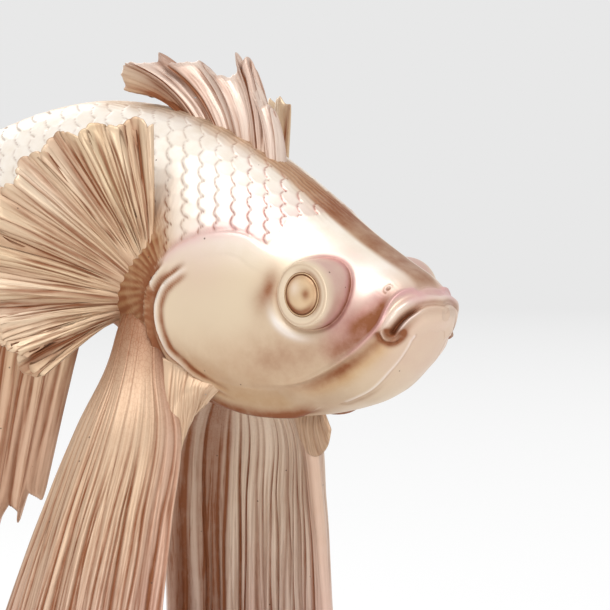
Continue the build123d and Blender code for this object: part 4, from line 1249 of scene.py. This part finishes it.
def pectoral_fin(side, length, first_turn, seed, name, node):
    """A fan behind the gill cover: many fine ribs that meet at its root, and a ragged rim."""
    rows, columns = 90, 520
    ends = np.array([body_place(*share, side) for share in pectoral_root_shares])
    swing, last_turn = math.radians(pectoral_swing), pectoral_last_turn
    outward = np.array([-math.cos(swing), side * math.sin(swing), 0])
    facing = np.array([math.sin(swing), side * math.cos(swing), 0])
    t = np.linspace(0, 1, columns)
    r, a = np.meshgrid(np.linspace(0, 1, rows), t, indexing="ij")
    major = carved_lines(a, r, count=58, seed=seed, width=0.0040, sway=0.003)
    minor = carved_lines(a, r, count=90, seed=seed + 1, width=0.0022, sway=0.003)
    turn = np.radians(first_turn + (last_turn - first_turn) * t)
    rise = np.sin(turn)
    rays = len(pectoral_rim_shares) - 1
    rim = np.interp(t * rays, np.arange(rays + 1), pectoral_rim_shares)
    rim = rim - 0.06 * major[-1] - 0.02 * np.abs(wander(t * 11, seed + 2))
    way = outward * np.cos(turn)[:, None] + np.array([0, 0, 1]) * rise[:, None]
    tips = ends.mean(0) + way * (rim * length)[:, None] + facing * (pectoral_lean * (1 + rise) / 2)[:, None]
    roots = ends[0] + (ends[1] - ends[0]) * t[:, None]
    middle = roots + (tips - roots) * r[..., None]
    normals = turned_out(grid_normals(middle), facing)
    pleat = 0.5 * np.cos(math.tau * 10 * a)
    pleat = pleat + 0.5 * np.cos(math.tau * (4.3 * a + 0.3 * wander(a * 2, seed + 3)) + 1.0)
    middle = middle + normals * (pectoral_wave * pleat * r - pectoral_curl * r ** 2)[..., None]
    edge = rounded_edge(r, a, 0.05)
    thick = tapered(pectoral_thickness, r) * (0.25 + 0.75 * edge)
    thick = thick + (0.25 - (0.75 * major + 0.25 * minor) * fade(r, 0.0, 0.3)) * edge
    points, faces = thick_sheet(middle, normals, thick, thick)
    groove, fold = 0.85 * (0.95 * major + 0.35 * minor) + 0.38 * bell(r, 0.14), fade(r, 0.1, 0.6)
    front, back = [groove + 0.5 * valley * fold for valley in valleys(pleat, 2.5)]
    blush = 0.22 * bell(r, 0.35) + 0.12 * (0.5 + 0.5 * wander(a * 2, seed + 4))
    pearl = 0.45 * fade(r, 0.25, 0.8) * (0.5 + 0.5 * wander(a * 3, seed + 5))
    fin_piece(name, points, faces_out(faces, side), "champagne_rayed_paint", "champagne_resin", node, a, r,
              front, back, spans=(130, 62), blush=blush, pearl=pearl, gilt=0.30 + 0 * r)


class FIGURINE_OT_pectoral_fins(bpy.types.Operator):
    """Build the two pectoral fans"""

    bl_idname = "figurine.pectoral_fins"
    bl_label = "Pectoral fins"

    def execute(self, context):
        s = sizes()
        pectoral_fin(RIGHT, s.right_pectoral_reach, 95, 31, "right_pectoral_fan", "right_pectoral_fin")
        pectoral_fin(LEFT, s.left_pectoral_reach, 99, 37, "left_pectoral_fan", "left_pectoral_fin")
        return {"FINISHED"}


def throat_fin(side, root_shares, tip_shares, seed, name, node):
    """A small leaf under the gill cover with crackled rays, bowed outwards over its pin."""
    rows, columns = 60, 120
    ends = np.array([body_place(*share, side) for share in root_shares])
    t = np.linspace(0, 1, columns)
    tip_places = [body_place(*share, side) for share in tip_shares]
    tips = smooth_rows(np.linspace(0, 1, len(tip_places)), tip_places, t)
    roots = ends[0] + (ends[1] - ends[0]) * t[:, None]
    r, a = np.meshgrid(np.linspace(0, 1, rows), t, indexing="ij")
    middle = roots + (tips - roots) * r[..., None]
    normals = turned_out(grid_normals(middle), (0, side, 0))
    middle = middle + normals * (throat_bow * bell(r - 0.28, 0.22) * fade(a, 0.0, 0.13))[..., None]
    major = carved_lines(a, r, count=9, seed=seed, width=0.02, sway=0.02)
    minor = carved_lines(a, r, count=26, seed=seed + 1, width=0.009, sway=0.02)
    edge = rounded_edge(r, a, 0.08, 0.05, 0.03)
    thick = tapered(throat_thickness, r) * edge + (0.1 - 0.3 * major - 0.15 * minor) * edge
    groove = 0.35 * major + 0.3 * minor + 0.08
    points, faces = thick_sheet(middle, normals, thick, thick)
    fin_piece(name, points, faces_out(faces, side), "champagne_rayed_paint", "champagne_resin", node, a, r,
              groove, groove, spans=(16, 30), blush=0.2 + 0 * r, pearl=0 * r, gilt=0.25 + 0 * r)


class FIGURINE_OT_throat_fins(bpy.types.Operator):
    """Build the two small throat fins"""

    bl_idname = "figurine.throat_fins"
    bl_label = "Throat fins"

    def execute(self, context):
        throat_fin(RIGHT, right_throat_root_shares, right_throat_tip_shares, 51, "right_throat_leaf",
                   "right_throat_fin")
        throat_fin(LEFT, left_throat_root_shares, left_throat_tip_shares, 53, "left_throat_leaf",
                   "left_throat_fin")
        return {"FINISHED"}


class FIGURINE_OT_fittings(bpy.types.Operator):
    """Give the plug, dowels, pins and felt pads their finishes"""

    bl_idname = "figurine.fittings"
    bl_label = "Plug, dowels and pads"

    def execute(self, context):
        dowels = ["right_ventral_rod", "left_ventral_rod", "tail_rod", "fin_pins", "throat_pins"]
        finishes = (
            (["belly_plug"], paint_named("champagne_metallic_paint")),
            (dowels, brushed_steel()),
            (["right_pad", "left_pad", "rear_pad"], pressed_felt()),
        )
        for nodes, material in finishes:
            for node in nodes:
                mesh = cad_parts[node].data
                mesh.materials.clear()
                mesh.materials.append(material)
        return {"FINISHED"}


def soft_box(name, place, aim, side, power):
    """A square softbox that faces a point."""
    light = bpy.data.lights.new(name, "AREA")
    light.shape = "RECTANGLE"
    light.size = light.size_y = side
    light.energy = power
    box = bpy.data.objects.new(name, light)
    box.location = place
    box.rotation_euler = (Vector(aim) - Vector(place)).to_track_quat("-Z", "Y").to_euler()
    bpy.context.scene.collection.objects.link(box)


class FIGURINE_OT_stage(bpy.types.Operator):
    """Build the floor, the world, the lamps and the camera"""

    bl_idname = "figurine.stage"
    bl_label = "Stage"

    def execute(self, context):
        scene = context.scene
        scene.view_settings.view_transform = "Standard"
        self.floor()
        self.world(scene)
        # Places and sides in metres, power in watts
        middle = (0.05, 0, 0.17)
        soft_box("overhead_softbox", (0.35, -0.75, 1.5), aim=middle, side=1.1, power=11)
        soft_box("front_softbox", (1.0, -1.25, 0.08), aim=(0.05, 0.02, 0.10), side=0.8, power=6)
        soft_box("rear_softbox", (-1.3, 0.9, 0.9), aim=middle, side=1.2, power=6)
        self.camera(scene)
        return {"FINISHED"}

    def floor(self):
        """A pale painted floor that keeps the figurine's shadow and fades into the wall far behind."""
        radius, corners = 6, 96
        mesh = bpy.data.meshes.new("pale_floor")
        turns = [math.tau * k / corners for k in range(corners)]
        rim = [(radius * math.cos(t), radius * math.sin(t), 0) for t in turns]
        mesh.from_pydata(rim, [], [list(range(corners))])
        floor = bpy.data.objects.new("pale_floor", mesh)
        bpy.context.scene.collection.objects.link(floor)
        material, tree = new_material("matte_floor_paint")
        place = add_node(tree, "ShaderNodeTexCoord").outputs["Object"]
        away = add_node(tree, "ShaderNodeVectorMath", {"operation": "LENGTH"}, {0: place}).outputs["Value"]
        far = add_node(tree, "ShaderNodeMapRange", {"From Min": 1.3, "From Max": 5.5},
                       {"Value": away}).outputs["Result"]
        tone = coats(tree, linear("#FCFCFC"), ((far, linear("#E8E8E8")),))
        shade = add_node(tree, "ShaderNodeBsdfDiffuse", {"Color": (*colours().floor, 1)}).outputs[0]
        glow = add_node(tree, "ShaderNodeEmission", {"Strength": 1.0}, {"Color": tone}).outputs[0]
        rays = add_node(tree, "ShaderNodeLightPath").outputs["Is Camera Ray"]
        plain = add_node(tree, "ShaderNodeMapRange",
                         {"From Min": 0.4, "From Max": 1.3, "To Min": 0.45, "To Max": 1.0},
                         {"Value": away}).outputs["Result"]
        share = add_node(tree, "ShaderNodeMath", {"operation": "MULTIPLY"}, {0: rays, 1: plain}).outputs[0]
        mixed = add_node(tree, "ShaderNodeMixShader", links={0: share, 1: shade, 2: glow}).outputs[0]
        add_node(tree, "ShaderNodeOutputMaterial", links={"Surface": mixed})
        mesh.materials.append(material)

    def world(self, scene):
        """Plain soft light from all round, seen by the camera as a pale grey wall."""
        world = bpy.data.worlds.new("studio_wall")
        scene.world = world
        world.use_nodes = True
        tree = world.node_tree
        tree.nodes.clear()
        light, wall = [
            add_node(tree, "ShaderNodeBackground", {"Color": (*tone, 1), "Strength": strength}).outputs[0]
            for tone, strength in (((1, 1, 1), 0.84), (linear("#E8E8E8"), 1.0))]
        rays = add_node(tree, "ShaderNodeLightPath").outputs["Is Camera Ray"]
        mixed = add_node(tree, "ShaderNodeMixShader", links={0: rays, 1: light, 2: wall}).outputs[0]
        add_node(tree, "ShaderNodeOutputWorld", links={"Surface": mixed})

    def camera(self, scene):
        """The photograph's camera, which stands to the front right a little above eye level."""
        s = sizes()
        across = Vector((math.cos(camera_turn), math.sin(camera_turn), 0))
        level = Vector((-math.sin(camera_turn), math.cos(camera_turn), 0))
        ahead = level * math.cos(camera_rise) - Vector((0, 0, 1)) * math.sin(camera_rise)
        up = level * math.sin(camera_rise) + Vector((0, 0, 1)) * math.cos(camera_rise)
        eye = Vector((s.snout_reach - s.eye_back, 0, s.eye_height))
        place = eye + across * (picture_side / 2 - eye_column) * pixel_span
        place += up * (eye_row - picture_side / 2) * pixel_span - ahead * camera_range
        camera = bpy.data.cameras.new("picture_camera")
        camera.sensor_width = sensor_side
        camera.lens = sensor_side * camera_range / (picture_side * pixel_span)
        camera.clip_start, camera.clip_end = 0.05, 20
        rig = bpy.data.objects.new("picture_camera", camera)
        turned = Matrix((across, up, -ahead)).transposed().to_4x4()
        rig.matrix_world = Matrix.Translation(place * MM) @ turned
        scene.collection.objects.link(rig)
        scene.camera = rig


class FIGURINE_PT_panel(bpy.types.Panel):
    """Lists the figurine's pieces, sizes and colours"""

    bl_idname = "FIGURINE_PT_panel"
    bl_label = "Fish figurine"
    bl_space_type = "VIEW_3D"
    bl_region_type = "UI"
    bl_category = "Figurine"

    def draw(self, context):
        layout = self.layout
        for operator in operators:
            layout.operator(operator.bl_idname)
        for group, owner in ((FigurineSizes, sizes()), (FigurineColours, colours())):
            for key in group.__annotations__:
                layout.prop(owner, key)


operators = (
    FIGURINE_OT_body,
    FIGURINE_OT_eyes,
    FIGURINE_OT_ventral_fins,
    FIGURINE_OT_tail,
    FIGURINE_OT_median_fins,
    FIGURINE_OT_pectoral_fins,
    FIGURINE_OT_throat_fins,
    FIGURINE_OT_fittings,
    FIGURINE_OT_stage,
)
classes = (FigurineSizes, FigurineColours, *operators, FIGURINE_PT_panel)


def register():
    """Register the add-on's classes and its settings."""
    for item in classes:
        bpy.utils.register_class(item)
    bpy.types.Scene.figurine_sizes = bpy.props.PointerProperty(type=FigurineSizes)
    bpy.types.Scene.figurine_colours = bpy.props.PointerProperty(type=FigurineColours)


def unregister():
    """Remove the settings and the classes."""
    del bpy.types.Scene.figurine_colours
    del bpy.types.Scene.figurine_sizes
    for item in reversed(classes):
        bpy.utils.unregister_class(item)


def main():
    """Build every piece in order."""
    register()
    bpy.ops.figurine.body()
    bpy.ops.figurine.eyes()
    bpy.ops.figurine.ventral_fins()
    bpy.ops.figurine.tail()
    bpy.ops.figurine.median_fins()
    bpy.ops.figurine.pectoral_fins()
    bpy.ops.figurine.throat_fins()
    bpy.ops.figurine.fittings()
    bpy.ops.figurine.stage()


if __name__ == "__main__":
    main()
